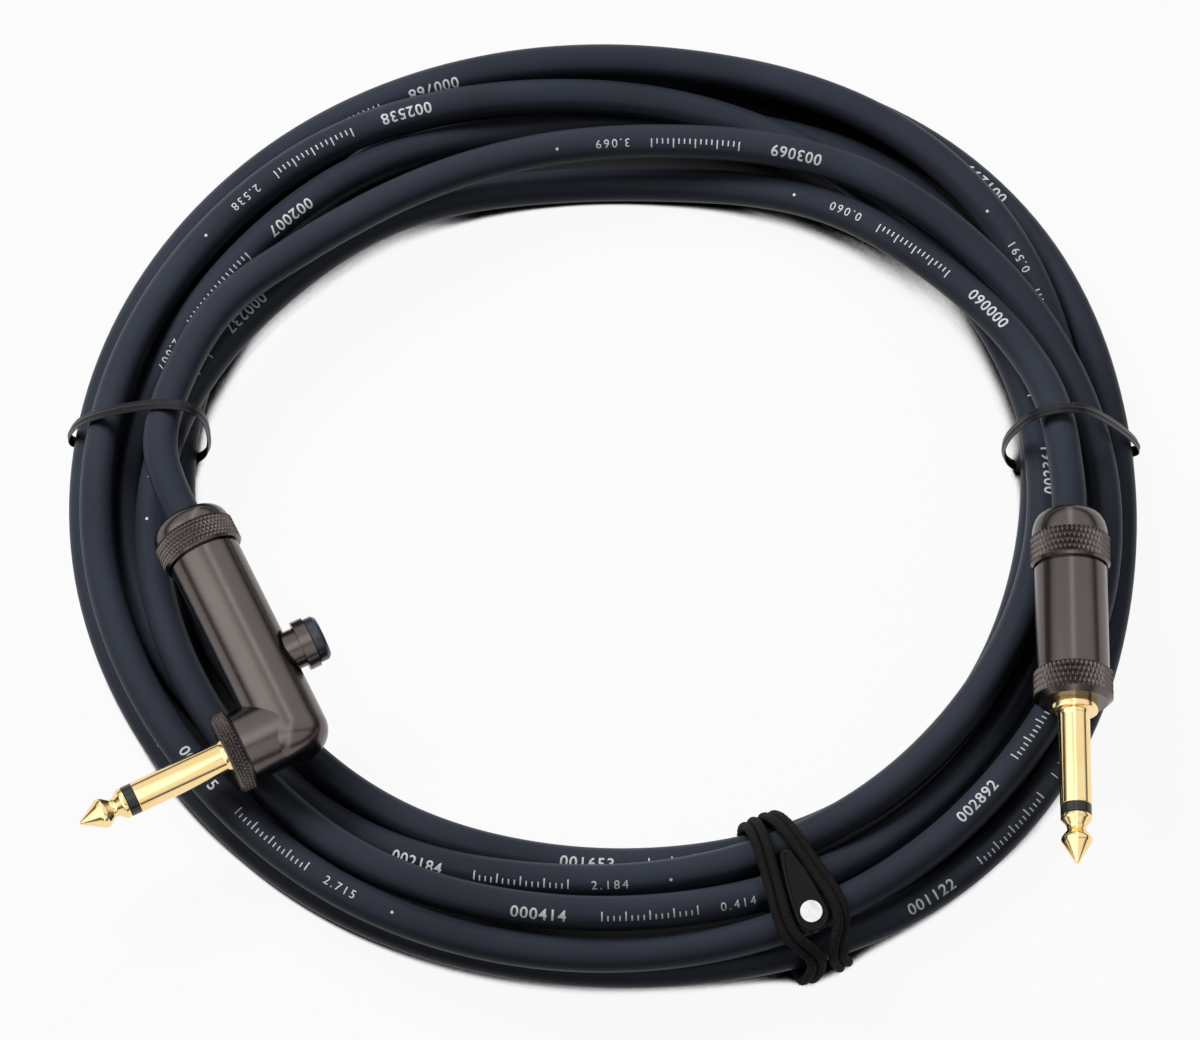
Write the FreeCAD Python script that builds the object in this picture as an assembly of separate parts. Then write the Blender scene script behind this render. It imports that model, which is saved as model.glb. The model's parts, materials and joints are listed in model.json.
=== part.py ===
"""Instrument cable: a coiled lead with a straight plug, a right-angle plug with a mute button, and ties.

Millimetres. The coil lies flat, +Z is up and the floor is z = 0. Each plug is drawn in its own frame,
with its axis along X from the cable entry, and then placed on top of the coil.
"""
import FreeCAD, Part
import math
import os

V = FreeCAD.Vector

# The cable and how it is laid
CABLE_D = 7.0
COIL_R = 93.0
REST_FLAT = 0.5
CLEAR = 0.1
FIT = 0.02
LOOSE = 0.05
NEAR = 0.01
CUT_PAST = 1.0
STATION_STEP = 45
ARC_SAMPLES = 24
# Strands met at each station, in the order the cable passes: (distance beyond COIL_R, height)
LAY = {
    0: [(3.0, 3.5), (11.9, 3.5), (-4.9, 3.5), (-3.8, 10.9), (8.2, 10.9)],
    45: [(-12.6, 15.4), (8.8, 11.0), (13.4, 3.5), (3.0, 3.5), (-6.0, 11.0), (-4.6, 18.7)],
    90: [(-20.0, 3.6), (4.8, 11.0), (4.2, 3.5), (-6.2, 3.5), (-3.7, 11.4), (-16.5, 16.2)],
    135: [(-15.0, 11.0), (10.2, 5.8), (-2.9, 3.5), (-3.9, 12.3), (4.2, 13.6), (-14.8, 19.6)],
    180: [(-2.0, 11.2), (12.4, 3.5), (-6.4, 3.5), (4.7, 3.5), (9.8, 11.3)],
    225: [(0.1, 11.2), (9.1, 3.5), (-12.6, 3.5), (-4.8, 3.5), (8.0, 11.1)],
    270: [(0.7, 15.4), (8.3, 3.5), (-14.0, 3.5), (-8.0, 10.2), (8.0, 11.4)],
    315: [(0.2, 4.6), (14.8, 3.5), (-7.9, 3.5), (-6.4, 10.9), (8.2, 9.0)],
}
# The ties pass under the strands and lift them
LIFT = {0: 2.5, 45: 0.0, 90: 0.0, 135: 0.4, 180: 2.3, 225: 0.6, 270: 3.8, 315: 3.8}
# The last station before the right-angle plug: angle, distance beyond COIL_R, height with the lift
LAST_STATION = (160.0, -5.6, 22.6)
# Where the two tails enter the plugs: x, y, height, and the way the cable enters the right-angle plug
STRAIGHT_ENTRY = (COIL_R + 0.6, -10.0, 24.0)
ANGLED_ENTRY = (8.8 - COIL_R, -11.0, 24.0)
ANGLED_AXIS_DEG = -64.6
TAIL_RUN = 7.0
CABLE_IN_PLUG = 16.0
CORE_R = 0.75
SHIELD_R = 0.9
SHIELD_SIDE = 1.9
BEND_SHARE = 0.45

# The finger: the phone plug that both ends share, measured from the back of its collar
SLEEVE_R = 3.175
SLEEVE_LEN = 19.1
COLLAR_R = 4.85
COLLAR_LEN = 2.0
NECK_R = 3.6
NECK_LEN = 0.8
SHANK_R = 4.8
SHANK_LEN = 4.5
INSULATOR_R = 2.0
ROD_R = 1.3
RING_LEN = 2.0
RING_R = 3.12
SHOULDER_R = 4.0
SHOULDER_LEN = 2.9
LUG_THICK = 0.8
LUG_FIT = 0.03
TIP_LUG_R = 3.4
TAB_LEN = 5.0
TAB_W = 2.4
STRIP_W = 3.0
STRIP_THICK = 0.6
STRIP_INSET = 0.15
ROD_TAIL = 1.0
TIP_R = 3.15
TIP_BEVEL = 0.1
TIP_RIM = 0.8
TIP_RIM_END = 1.1
NOTCH_START = 2.5
NOTCH_END = 3.3
TIP_NECK_R = 1.9
HEAD_START = 4.6
HEAD_PEAK = 5.2
HEAD_END = 5.9
HEAD_BEVEL = 0.2
NOSE_LEN = 0.7
NOSE_R = 0.7
NOSE_FLAT_R = 0.25
TIP_LEN = 10.2

# The screwed cable entry that both plugs share
ENTRY_HOLE_R = CABLE_D / 2 + 0.35
THREAD_R = 6.24
THREAD_FIT = 0.06
THREAD_LEN = 5.4
THREAD_BACK = 5.0
COLLET_R = 5.3
COLLET_TAPER = 1.2
COLLET_NOSE = 1.5
COLLET_LEN = 7.5
COLLET_START = 2.2
COLLET_SLOTS = 6
SLOT_SHORT = 2.0
SLOT_W = 0.7
NUT_WALL = 1.7
SEAT_LEN = 1.6
DOME_FACE = 1.2
# Points of the dome's curve: share of its length, share of the cap's radius
DOME_LOW = (0.18, 0.76)
DOME_HIGH = (0.5, 0.90)
GROOVE_DEPTH = 0.35
GROOVE_LEN = 0.2
GROOVE_END = 0.5

# The straight plug
BARREL_R = 7.35
BARREL_BORE = 5.6
STRAIGHT_NUT_R = 8.0
STRAIGHT_NUT_LEN = 12.0
STRAIGHT_DOME = 5.2
BARREL_FACE = 41.0
FRONT_RING_LEN = 6.2
FRONT_WALL = 3.0
RING_EDGE = 0.5
FACE_BEVEL_LEN = 1.0
FACE_BEVEL = 1.1
LINER_WALL = 0.4
LINER_LAP = 3.0
LINER_SHORT = 0.2
STRAIGHT_STRIP = 15.0
# The two wires inside: straight runs out of the cable, then the laps on the tab and on the strip
CORE_LEAD = 3.5
TAB_BACK = 4.4
TAB_NEAR = 1.5
TAB_LAP = 3.0
SHIELD_LEAD = 2.0
STRIP_NEAR = 1.0
STRIP_LAP = 5.0

# The right-angle plug
BODY_R = 7.4
BODY_BORE = 6.2
ANGLED_NUT_R = 8.4
ANGLED_NUT_LEN = 9.6
ANGLED_DOME = 3.6
FINGER_X = 49.7
HEEL_X = 57.1
HEEL_ROUND = 5.6
CAVITY_END = 52.7
MOUTH_LEN = 2.0
MOUTH_LAP = 3.0
STUB_STEP = 0.1
STUB_LEN = 10.0
STUB_BORE = 6.0
STUB_WALL = 3.0
FRONT_NUT_R = 8.3
FRONT_NUT_LEN = 3.8
COLLAR_BACK = 11.6
FINGER_DROP_DEG = 4.0
ANGLED_STRIP = 7.0
ANGLED_LEAD = 4.0
SWITCH_BEFORE = 2.0
SWITCH_PAST = 1.0
SWITCH_AIR = 0.2
LUG_SIDE = 3.0
LUG_BELOW = 3.4
LUG_HEIGHT = 0.8
SHIELD_BEFORE = 4.0
SHIELD_OUT = 4.0
SHIELD_SHORT = 2.4

# The mute button opposite the finger
BUTTON_X = 35.4
BOSS_R = 4.1
BOSS_FLOOR = 7.6
POCKET_R = 3.3
RIM_R = 5.2
RIM_BACK = 9.2
RIM_REACH = 11.6
WELL_FLOOR = 9.7
BUTTON_R = 4.7
BUTTON_REACH = 14.2
BUTTON_THICK = 2.9
BUTTON_EDGE = 0.7
WELL_FIT = 0.08
STEM_R = 1.4
STEM_ROOM = 0.3
STEM_END = 3.6
SWITCH_BACK = 4.9
SWITCH_FRONT = 0.5
SWITCH_LEN = 9.0
SWITCH_W = 6.6
SPRING_WIRE = 0.25
SPRING_R = 2.6
SPRING_TURNS = 3

# The ties: the corners of each one's line round the strands are (distance beyond COIL_R, height)
TWIST_R = 0.75
LEFT_TWIST_DEG = 172.0
LEFT_TWIST = [
    (-9.0, TWIST_R), (15.2, TWIST_R), (17.6, 5.0), (13.6, 16.6), (-4.0, 29.8), (-10.8, 26.2), (-10.4, 4.5)]
RIGHT_TWIST_DEG = 7.0
RIGHT_TWIST = [
    (-8.8, TWIST_R), (15.0, TWIST_R), (17.2, 5.0), (11.4, 17.6), (3.8, 28.6), (-4.8, 28.6), (-9.8, 16.0),
    (-9.9, 4.6)]
# The elastic's corners also have their distance from the middle between its two bands
ELASTIC_R = 1.5
ELASTIC_DEG = 293.6
ELASTIC = [
    (-1.0, ELASTIC_R, 4.0), (16.4, ELASTIC_R, 4.2), (18.4, 7.8, 4.4), (12.4, 19.2, 5.6), (0.4, 20.2, 4.4),
    (-10.6, 20.2, 2.6), (-17.2, 8.6, 2.0), (-16.0, ELASTIC_R, 2.6), (-2.0, ELASTIC_R, 4.0)]
TAG_LEN = 17.5
TAG_W = 6.8
TAG_APEX_W = 3.0
TAG_THICK = 2.6
TAG_EDGE = 0.6
# Where the tag is widest, and a point of its side: shares of the length above it and of the half width
TAG_WIDEST = 0.68
TAG_SIDE = (0.45, 0.78)
TAG_TOP = (-2.6, 21.4)
TAG_SLOPE_DEG = 12.0
BADGE_R = 2.2
BADGE_THICK = 0.4


def station_list():
    """(angle, distance, height) of every station, from the first after the straight plug to the last."""
    passed = {angle: 0 for angle in LAY}
    out = []
    angle = STATION_STEP
    while passed[angle % 360] < len(LAY[angle % 360]):
        turn_angle = angle % 360
        distance, height = LAY[turn_angle][passed[turn_angle]]
        out.append((float(angle), COIL_R + distance, height - REST_FLAT + LIFT[turn_angle]))
        passed[turn_angle] += 1
        angle += STATION_STEP
    last_turn = out[-1][0] - out[-1][0] % 360
    out.append((last_turn + LAST_STATION[0], COIL_R + LAST_STATION[1], LAST_STATION[2]))
    return out


def unit(heading_deg, climb_deg=0.0):
    flat = math.cos(math.radians(climb_deg))
    heading = math.radians(heading_deg)
    return V(math.cos(heading) * flat, math.sin(heading) * flat, math.sin(math.radians(climb_deg)))


def route_stations():
    """Points and directions of the coil, from one plug's tail to the other's."""
    forward = unit(90.0)
    away = unit(ANGLED_AXIS_DEG)
    first = V(*STRAIGHT_ENTRY) + forward * TAIL_RUN
    last = V(*ANGLED_ENTRY) - away * TAIL_RUN
    laid = station_list()
    whole_turns = laid[-1][0] - laid[-1][0] % 360
    first_polar = (math.degrees(math.atan2(first.y, first.x)), math.hypot(first.x, first.y), first.z)
    last_angle = math.degrees(math.atan2(last.y, last.x)) % 360 + whole_turns
    last_polar = (last_angle, math.hypot(last.x, last.y), last.z)
    polar = [first_polar] + laid + [last_polar]
    out = [(first, forward)]
    for before, here, after in zip(polar, polar[1:], polar[2:]):
        run_in = math.radians(here[0] - before[0]) * (here[1] + before[1]) / 2
        run_out = math.radians(after[0] - here[0]) * (here[1] + after[1]) / 2
        drift_in = (here[1] - before[1]) / run_in
        drift_out = (after[1] - here[1]) / run_out
        drift = (drift_in * run_out + drift_out * run_in) / (run_in + run_out)
        rise_in = (here[2] - before[2]) / run_in
        rise_out = (after[2] - here[2]) / run_out
        rise = 0.0
        if rise_in * rise_out > 0:
            rise = 2 * rise_in * rise_out / (rise_in + rise_out)
        angle = math.radians(here[0])
        point = V(here[1] * math.cos(angle), here[1] * math.sin(angle), here[2])
        heading = here[0] + 90 - math.degrees(math.atan(drift))
        out.append((point, unit(heading, math.degrees(math.atan(rise)))))
    out.append((last, away))
    return out


def arc_to(start, direction, end):
    """(edge, radius, points) of the arc that leaves start along direction and ends at end."""
    chord = end - start
    length = chord.Length
    along = V(chord).normalize()
    turn = math.acos(max(-1.0, min(1.0, along.dot(direction))))
    radius = length / (2 * math.sin(turn))
    side = (along - direction * along.dot(direction)).normalize()

    def at(share):
        angle = 2 * turn * share
        return start + direction * (radius * math.sin(angle)) + side * (radius * (1 - math.cos(angle)))

    edge = Part.Arc(start, at(0.5), end).toShape()
    samples = [at(step / ARC_SAMPLES) for step in range(ARC_SAMPLES)]
    return edge, radius, samples


def biarc(start, leaving, end, arriving):
    """The two arcs from start to end that keep both directions."""
    chord = end - start
    both = leaving + arriving
    square = 2 * (1 - leaving.dot(arriving))
    linear = 2 * chord.dot(both)
    reach = (math.sqrt(linear * linear + 4 * square * chord.dot(chord)) - linear) / (2 * square)
    near = start + leaving * reach
    far = end - arriving * reach
    joint = (near + far) * 0.5
    through = (far - near).normalize()
    return arc_to(start, leaving, joint), arc_to(joint, through, end)


def least_gap(points):
    """The least clear gap between two stretches of the cable that are apart along its length."""
    reach = [0.0]
    for one, two in zip(points, points[1:]):
        reach.append(reach[-1] + one.distanceToPoint(two))
    apart = 6 * CABLE_D
    best = 1e9
    for i, one in enumerate(points):
        for j in range(i + 1, len(points)):
            two = points[j]
            if abs(one.z - two.z) < best and abs(one.x - two.x) < best and abs(one.y - two.y) < best:
                if reach[j] - reach[i] > apart:
                    best = min(best, one.distanceToPoint(two))
    return best - CABLE_D


def pipe(edges, radius, start, direction):
    """A round solid of the given radius along the edges."""
    ring = Part.Wire([Part.makeCircle(radius, start, direction)])
    path = Part.Wire(edges)
    return path.makePipeShell([ring], True, False)


def make_coil():
    stations = route_stations()
    start = V(*STRAIGHT_ENTRY) - unit(90.0) * CABLE_IN_PLUG
    end = V(*ANGLED_ENTRY) + unit(ANGLED_AXIS_DEG) * CABLE_IN_PLUG
    edges = [Part.makeLine(start, stations[0][0])]
    points = []
    radii = []
    for (one, leaving), (two, arriving) in zip(stations, stations[1:]):
        for edge, radius, samples in biarc(one, leaving, two, arriving):
            edges.append(edge)
            radii.append(radius)
            points += samples
    edges.append(Part.makeLine(stations[-1][0], end))
    coil = pipe(edges, CABLE_D / 2, start, unit(90.0))
    length = sum(edge.Length for edge in edges)
    section = math.pi * CABLE_D ** 2 / 4
    print("cable length %.0f, volume over section times length %.4f" % (length, coil.Volume / section / length))
    print("least radius %.1f, least gap to itself %.2f" % (min(radii), least_gap(points)))
    width = 4 * COIL_R
    below = Part.makeBox(width, width, CABLE_D, V(-width / 2, -width / 2, -CABLE_D))
    return coil.cut(below)


def tube(points, radius):
    """A round solid along straight runs joined by tangent arcs, each as large as its two runs allow."""
    edges = []
    start = points[0]
    for before, corner, after in zip(points, points[1:], points[2:]):
        back = (before - corner).normalize()
        ahead = (after - corner).normalize()
        half = math.acos(max(-1.0, min(1.0, back.dot(ahead)))) / 2
        cut = BEND_SHARE * min((before - corner).Length, (after - corner).Length)
        bend = cut * math.tan(half)
        one = corner + back * cut
        two = corner + ahead * cut
        middle = corner + (back + ahead).normalize() * (bend / math.sin(half) - bend)
        edges.append(Part.makeLine(start, one))
        edges.append(Part.Arc(one, middle, two).toShape())
        start = two
    edges.append(Part.makeLine(start, points[-1]))
    return pipe(edges, radius, points[0], points[1] - points[0])


def turned(profile):
    """A solid of revolution about X from (x, radius) corners, taken round in order."""
    corners = [V(x, radius, 0) for x, radius in profile]
    face = Part.Face(Part.makePolygon(corners + [corners[0]]))
    return face.revolve(V(0, 0, 0), V(1, 0, 0), 360)


def rod(start_x, length, radius):
    return Part.makeCylinder(radius, length, V(start_x, 0, 0), V(1, 0, 0))


def ring(start_x, length, outer, inner):
    return rod(start_x, length, outer).cut(rod(start_x, length, inner))


def finger_pieces(strip_len):
    """The phone plug's own pieces along X, from 0 at the back of the collar, with a ground strip that long."""
    sleeve_end = COLLAR_LEN + SLEEVE_LEN + NECK_LEN
    ring_end = sleeve_end + RING_LEN
    ground_back = -SHANK_LEN - LUG_THICK
    shoulder_back = ground_back - SHOULDER_LEN
    lug_back = shoulder_back - LUG_THICK
    rod_back = lug_back - ROD_TAIL

    sleeve = turned([
        (-SHANK_LEN, INSULATOR_R), (-SHANK_LEN, SHANK_R), (0, SHANK_R), (0, COLLAR_R),
        (COLLAR_LEN, COLLAR_R), (COLLAR_LEN, NECK_R), (COLLAR_LEN + NECK_LEN, SLEEVE_R),
        (sleeve_end, SLEEVE_R), (sleeve_end, INSULATOR_R)])
    insulator = turned([
        (shoulder_back, ROD_R), (shoulder_back, SHOULDER_R), (ground_back, SHOULDER_R),
        (ground_back, INSULATOR_R), (sleeve_end, INSULATOR_R), (sleeve_end, RING_R),
        (ring_end, RING_R), (ring_end, ROD_R)])
    head = ring_end
    tip = turned([
        (rod_back, 0), (rod_back, ROD_R), (head, ROD_R), (head, TIP_R - TIP_BEVEL),
        (head + TIP_RIM, TIP_R), (head + TIP_RIM_END, TIP_R - TIP_BEVEL),
        (head + NOTCH_START, TIP_NECK_R), (head + NOTCH_END, TIP_NECK_R),
        (head + HEAD_START, TIP_R - HEAD_BEVEL), (head + HEAD_PEAK, TIP_R),
        (head + HEAD_END, TIP_R - HEAD_BEVEL), (head + TIP_LEN - NOSE_LEN, NOSE_R),
        (head + TIP_LEN, NOSE_FLAT_R), (head + TIP_LEN, 0)])
    tip_lug = ring(lug_back, LUG_THICK, TIP_LUG_R, ROD_R + LUG_FIT)
    tab_corner = V(lug_back - TAB_LEN + LUG_THICK, -TAB_W / 2, TIP_LUG_R - LUG_THICK)
    tip_lug = tip_lug.fuse(Part.makeBox(TAB_LEN, TAB_W, LUG_THICK, tab_corner)).removeSplitter()
    ground_lug = ring(ground_back, LUG_THICK, SHANK_R, INSULATOR_R + LUG_FIT)
    strip_corner = V(ground_back - strip_len + LUG_THICK, -STRIP_W / 2, -SHANK_R + STRIP_INSET)
    strip = Part.makeBox(strip_len, STRIP_W, STRIP_THICK, strip_corner)
    ground_lug = ground_lug.fuse(strip).removeSplitter()
    return {"sleeve": sleeve, "insulator": insulator, "tip": tip, "tip_lug": tip_lug, "ground_lug": ground_lug}


def rear_nut(outer, length, dome):
    """The domed, ribbed cap that screws over the thread, open for the cable."""
    outside = [
        (0, ENTRY_HOLE_R), (0, ENTRY_HOLE_R + DOME_FACE), (dome * DOME_LOW[0], outer * DOME_LOW[1]),
        (dome * DOME_HIGH[0], outer * DOME_HIGH[1]), (dome, outer - GROOVE_DEPTH),
        (dome + GROOVE_LEN, outer - GROOVE_DEPTH), (dome + GROOVE_END, outer), (length - RING_EDGE, outer),
        (length, outer - RING_EDGE), (length, THREAD_R + THREAD_FIT)]
    thread_from = length - THREAD_LEN
    inside = [
        (thread_from, THREAD_R + THREAD_FIT), (thread_from, COLLET_R + CLEAR),
        (NUT_WALL + SEAT_LEN, COLLET_R + CLEAR), (NUT_WALL, COLLET_R - COLLET_TAPER), (NUT_WALL, ENTRY_HOLE_R)]
    return turned(outside + inside)


def collet():
    """The slotted gripping bush round the cable, inside the nut."""
    inner = CABLE_D / 2 + CLEAR / 2
    end = COLLET_START + COLLET_LEN
    bush = turned([
        (COLLET_START, inner), (COLLET_START, COLLET_R - COLLET_TAPER),
        (COLLET_START + COLLET_NOSE, COLLET_R), (end, COLLET_R), (end, inner)])
    for count in range(COLLET_SLOTS):
        corner = V(COLLET_START - NEAR, 0, -SLOT_W / 2)
        slot = Part.makeBox(COLLET_LEN - SLOT_SHORT, COLLET_R, SLOT_W, corner)
        slot.rotate(V(0, 0, 0), V(1, 0, 0), 360 * count / COLLET_SLOTS)
        bush = bush.cut(slot)
    return bush


def straight_plug():
    pieces = {}
    for name, shape in finger_pieces(STRAIGHT_STRIP).items():
        pieces[name] = shape.translated(V(BARREL_FACE, 0, 0))
    pieces["rear_nut"] = rear_nut(STRAIGHT_NUT_R, STRAIGHT_NUT_LEN, STRAIGHT_DOME)
    pieces["collet"] = collet()
    thread_back = STRAIGHT_NUT_LEN - THREAD_BACK
    ring_back = BARREL_FACE - FRONT_RING_LEN - RING_EDGE
    pieces["barrel"] = turned([
        (thread_back, BARREL_BORE), (thread_back, THREAD_R), (STRAIGHT_NUT_LEN + CLEAR, THREAD_R),
        (STRAIGHT_NUT_LEN + CLEAR, BARREL_R), (ring_back, BARREL_R), (ring_back + RING_EDGE, STRAIGHT_NUT_R),
        (BARREL_FACE - FACE_BEVEL_LEN, STRAIGHT_NUT_R), (BARREL_FACE, STRAIGHT_NUT_R - FACE_BEVEL),
        (BARREL_FACE, SHANK_R + FIT), (BARREL_FACE - FRONT_WALL, SHANK_R + FIT),
        (BARREL_FACE - FRONT_WALL, BARREL_BORE)])
    liner_back = CABLE_IN_PLUG - LINER_LAP
    liner_front = BARREL_FACE - SHANK_LEN - LUG_THICK - LINER_SHORT
    liner_r = BARREL_BORE - LOOSE
    pieces["liner"] = ring(liner_back, liner_front - liner_back, liner_r, liner_r - LINER_WALL)
    lug_z = TIP_LUG_R - LUG_THICK - CORE_R
    tab_x = BARREL_FACE - SHANK_LEN - LUG_THICK * 2 - SHOULDER_LEN - TAB_BACK
    pieces["core_wire"] = tube([
        V(CABLE_IN_PLUG, 0, 0), V(CABLE_IN_PLUG + CORE_LEAD, 0, 0), V(tab_x - TAB_NEAR, 0, lug_z),
        V(tab_x + TAB_LAP, 0, lug_z)], CORE_R)
    strip_z = -SHANK_R + STRIP_INSET + STRIP_THICK + SHIELD_R
    strip_x = BARREL_FACE - SHANK_LEN - STRAIGHT_STRIP
    pieces["shield_wire"] = tube([
        V(CABLE_IN_PLUG, 0, -SHIELD_SIDE), V(CABLE_IN_PLUG + SHIELD_LEAD, 0, -SHIELD_SIDE),
        V(strip_x + STRIP_NEAR, 0, strip_z), V(strip_x + STRIP_LAP, 0, strip_z)], SHIELD_R)
    return pieces


def button_spring(room):
    """The open coils between the floor of the pocket and the button, in the right-angle plug's frame."""
    rise = (room - 2 * SPRING_WIRE - CLEAR) / (SPRING_TURNS * 4)
    start_y = -BOSS_FLOOR - SPRING_WIRE - CLEAR / 2
    slope = rise / (SPRING_R * math.pi / 2)
    stops = []
    for quarter in range(SPRING_TURNS * 4 + 1):
        angle = math.radians(90 * quarter)
        point = V(BUTTON_X + SPRING_R * math.cos(angle), start_y - rise * quarter, SPRING_R * math.sin(angle))
        stops.append((point, V(-math.sin(angle), -slope, math.cos(angle)).normalize()))
    edges = []
    for (one, leaving), (two, arriving) in zip(stops, stops[1:]):
        edges += [arc[0] for arc in biarc(one, leaving, two, arriving)]
    return pipe(edges, SPRING_WIRE, *stops[0])


def angled_plug():
    """Body along X, finger along +Y at FINGER_X, button on the -Y side."""
    pieces = {}
    turn = FreeCAD.Placement(V(FINGER_X, COLLAR_BACK, 0), FreeCAD.Rotation(V(0, 0, 1), 90))
    for name, shape in finger_pieces(ANGLED_STRIP).items():
        moved = shape.copy()
        moved.Placement = turn
        pieces[name] = moved
    pieces["rear_nut"] = rear_nut(ANGLED_NUT_R, ANGLED_NUT_LEN, ANGLED_DOME)
    pieces["collet"] = collet()

    thread_back = ANGLED_NUT_LEN - THREAD_BACK
    shell = rod(ANGLED_NUT_LEN + CLEAR, HEEL_X - ANGLED_NUT_LEN - CLEAR, BODY_R)
    rim = [edge for edge in shell.Edges
           if abs(edge.CenterOfMass.x - HEEL_X) < NEAR and edge.Length > BODY_R]
    shell = shell.makeFillet(HEEL_ROUND, rim)
    shell = shell.fuse(rod(thread_back, ANGLED_NUT_LEN + CLEAR - thread_back, THREAD_R))
    stub = Part.makeCylinder(BODY_R - STUB_STEP, STUB_LEN, V(FINGER_X, 0, 0), V(0, 1, 0))
    boss = Part.makeCylinder(BOSS_R, RIM_REACH, V(BUTTON_X, 0, 0), V(0, -1, 0))
    rim_ring = Part.makeCylinder(RIM_R, RIM_REACH - RIM_BACK, V(BUTTON_X, -RIM_BACK, 0), V(0, -1, 0))
    shell = shell.fuse([stub, boss, rim_ring]).removeSplitter()
    cut_from = thread_back - CUT_PAST
    cavity = rod(cut_from, CAVITY_END - cut_from, BODY_BORE)
    mouth = rod(cut_from, ANGLED_NUT_LEN + MOUTH_LEN - thread_back, BODY_BORE)
    cavity = cavity.cut(mouth).fuse(rod(cut_from, ANGLED_NUT_LEN + MOUTH_LAP - thread_back, BARREL_BORE))
    stub_room = Part.makeCylinder(STUB_BORE, STUB_LEN - STUB_WALL, V(FINGER_X, 0, 0), V(0, 1, 0))
    shank_hole = Part.makeCylinder(SHANK_R + FIT, STUB_LEN + CUT_PAST, V(FINGER_X, 0, 0), V(0, 1, 0))
    well = Part.makeCylinder(BUTTON_R + WELL_FIT, RIM_REACH, V(BUTTON_X, -WELL_FLOOR, 0), V(0, -1, 0))
    pocket = Part.makeCylinder(POCKET_R, RIM_REACH, V(BUTTON_X, -BOSS_FLOOR, 0), V(0, -1, 0))
    stem_hole = Part.makeCylinder(STEM_R + STEM_ROOM, RIM_REACH, V(BUTTON_X, 0, 0), V(0, -1, 0))
    pieces["body"] = shell.cut(cavity.fuse([stub_room, shank_hole, well, pocket, stem_hole]))

    front = STUB_LEN
    nut = Part.makeCylinder(FRONT_NUT_R, FRONT_NUT_LEN, V(FINGER_X, front, 0), V(0, 1, 0))
    nut = nut.makeChamfer(RING_EDGE, [edge for edge in nut.Edges if edge.Length > 6 * FRONT_NUT_R])
    nut = nut.cut(Part.makeCylinder(COLLAR_R + LOOSE, FRONT_NUT_LEN, V(FINGER_X, front, 0), V(0, 1, 0)))
    pieces["front_nut"] = nut

    disc = Part.makeCylinder(BUTTON_R, BUTTON_THICK, V(BUTTON_X, -BUTTON_REACH, 0), V(0, 1, 0))
    outer_edge = [edge for edge in disc.Edges
                  if abs(edge.CenterOfMass.y + BUTTON_REACH) < NEAR and edge.Length > BUTTON_R]
    disc = disc.makeFillet(BUTTON_EDGE, outer_edge)
    stem_len = BUTTON_REACH - BUTTON_THICK - STEM_END
    stem = Part.makeCylinder(STEM_R, stem_len, V(BUTTON_X, -BUTTON_REACH + BUTTON_THICK, 0), V(0, 1, 0))
    pieces["button"] = disc.fuse(stem).removeSplitter()

    case = Part.makeBox(SWITCH_LEN, SWITCH_BACK + SWITCH_FRONT, SWITCH_W,
                        V(BUTTON_X - SWITCH_LEN / 2, -SWITCH_BACK, -SWITCH_W / 2))
    stem_room = Part.makeCylinder(STEM_R + WELL_FIT, SWITCH_BACK, V(BUTTON_X, -SWITCH_BACK, 0), V(0, 1, 0))
    pieces["switch_case"] = case.cut(stem_room)

    pieces["button_spring"] = button_spring(BUTTON_REACH - BUTTON_THICK - BOSS_FLOOR)

    lug_x = FINGER_X - TIP_LUG_R + LUG_THICK + CORE_R
    lug_y = COLLAR_BACK - SHANK_LEN - LUG_THICK * 2 - SHOULDER_LEN
    core_z = SWITCH_W / 2 + CORE_R + SWITCH_AIR
    pieces["core_wire"] = tube([
        V(CABLE_IN_PLUG, 0, 0), V(CABLE_IN_PLUG + ANGLED_LEAD, 0, 0),
        V(BUTTON_X - SWITCH_LEN / 2 - SWITCH_BEFORE, 0, core_z),
        V(BUTTON_X + SWITCH_LEN / 2 + SWITCH_PAST, 0, core_z),
        V(lug_x - LUG_SIDE, lug_y - LUG_BELOW, LUG_HEIGHT)], CORE_R)
    pieces["shield_wire"] = tube([
        V(CABLE_IN_PLUG, SHIELD_SIDE, 0), V(CABLE_IN_PLUG + ANGLED_LEAD, SHIELD_SIDE, 0),
        V(BUTTON_X - SHIELD_BEFORE, SHIELD_OUT, 0),
        V(FINGER_X - SHANK_R - SHIELD_SHORT, SHIELD_OUT, 0)], SHIELD_R)
    return pieces


def place_plug(pieces, entry, along, across):
    """Move a plug's pieces so that X runs along the first direction and Y is on the second one's side."""
    x_axis = V(along).normalize()
    z_axis = x_axis.cross(across).normalize()
    y_axis = z_axis.cross(x_axis)
    matrix = FreeCAD.Matrix(
        x_axis.x, y_axis.x, z_axis.x, entry[0],
        x_axis.y, y_axis.y, z_axis.y, entry[1],
        x_axis.z, y_axis.z, z_axis.z, entry[2], 0, 0, 0, 1)
    placed = {}
    for name, shape in pieces.items():
        placed[name] = shape.transformShape(matrix, True)
    return placed


def bundle_tie(corners, angle_deg, radius, side=1):
    """A tie round the strands, in the upright plane at the angle, on that side of the plane."""
    points = [V(COIL_R + corner[0], side * sum(corner[2:]), corner[1]) for corner in corners]
    loop = tube(points, radius)
    loop.rotate(V(0, 0, 0), V(0, 0, 1), angle_deg)
    return loop


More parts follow.
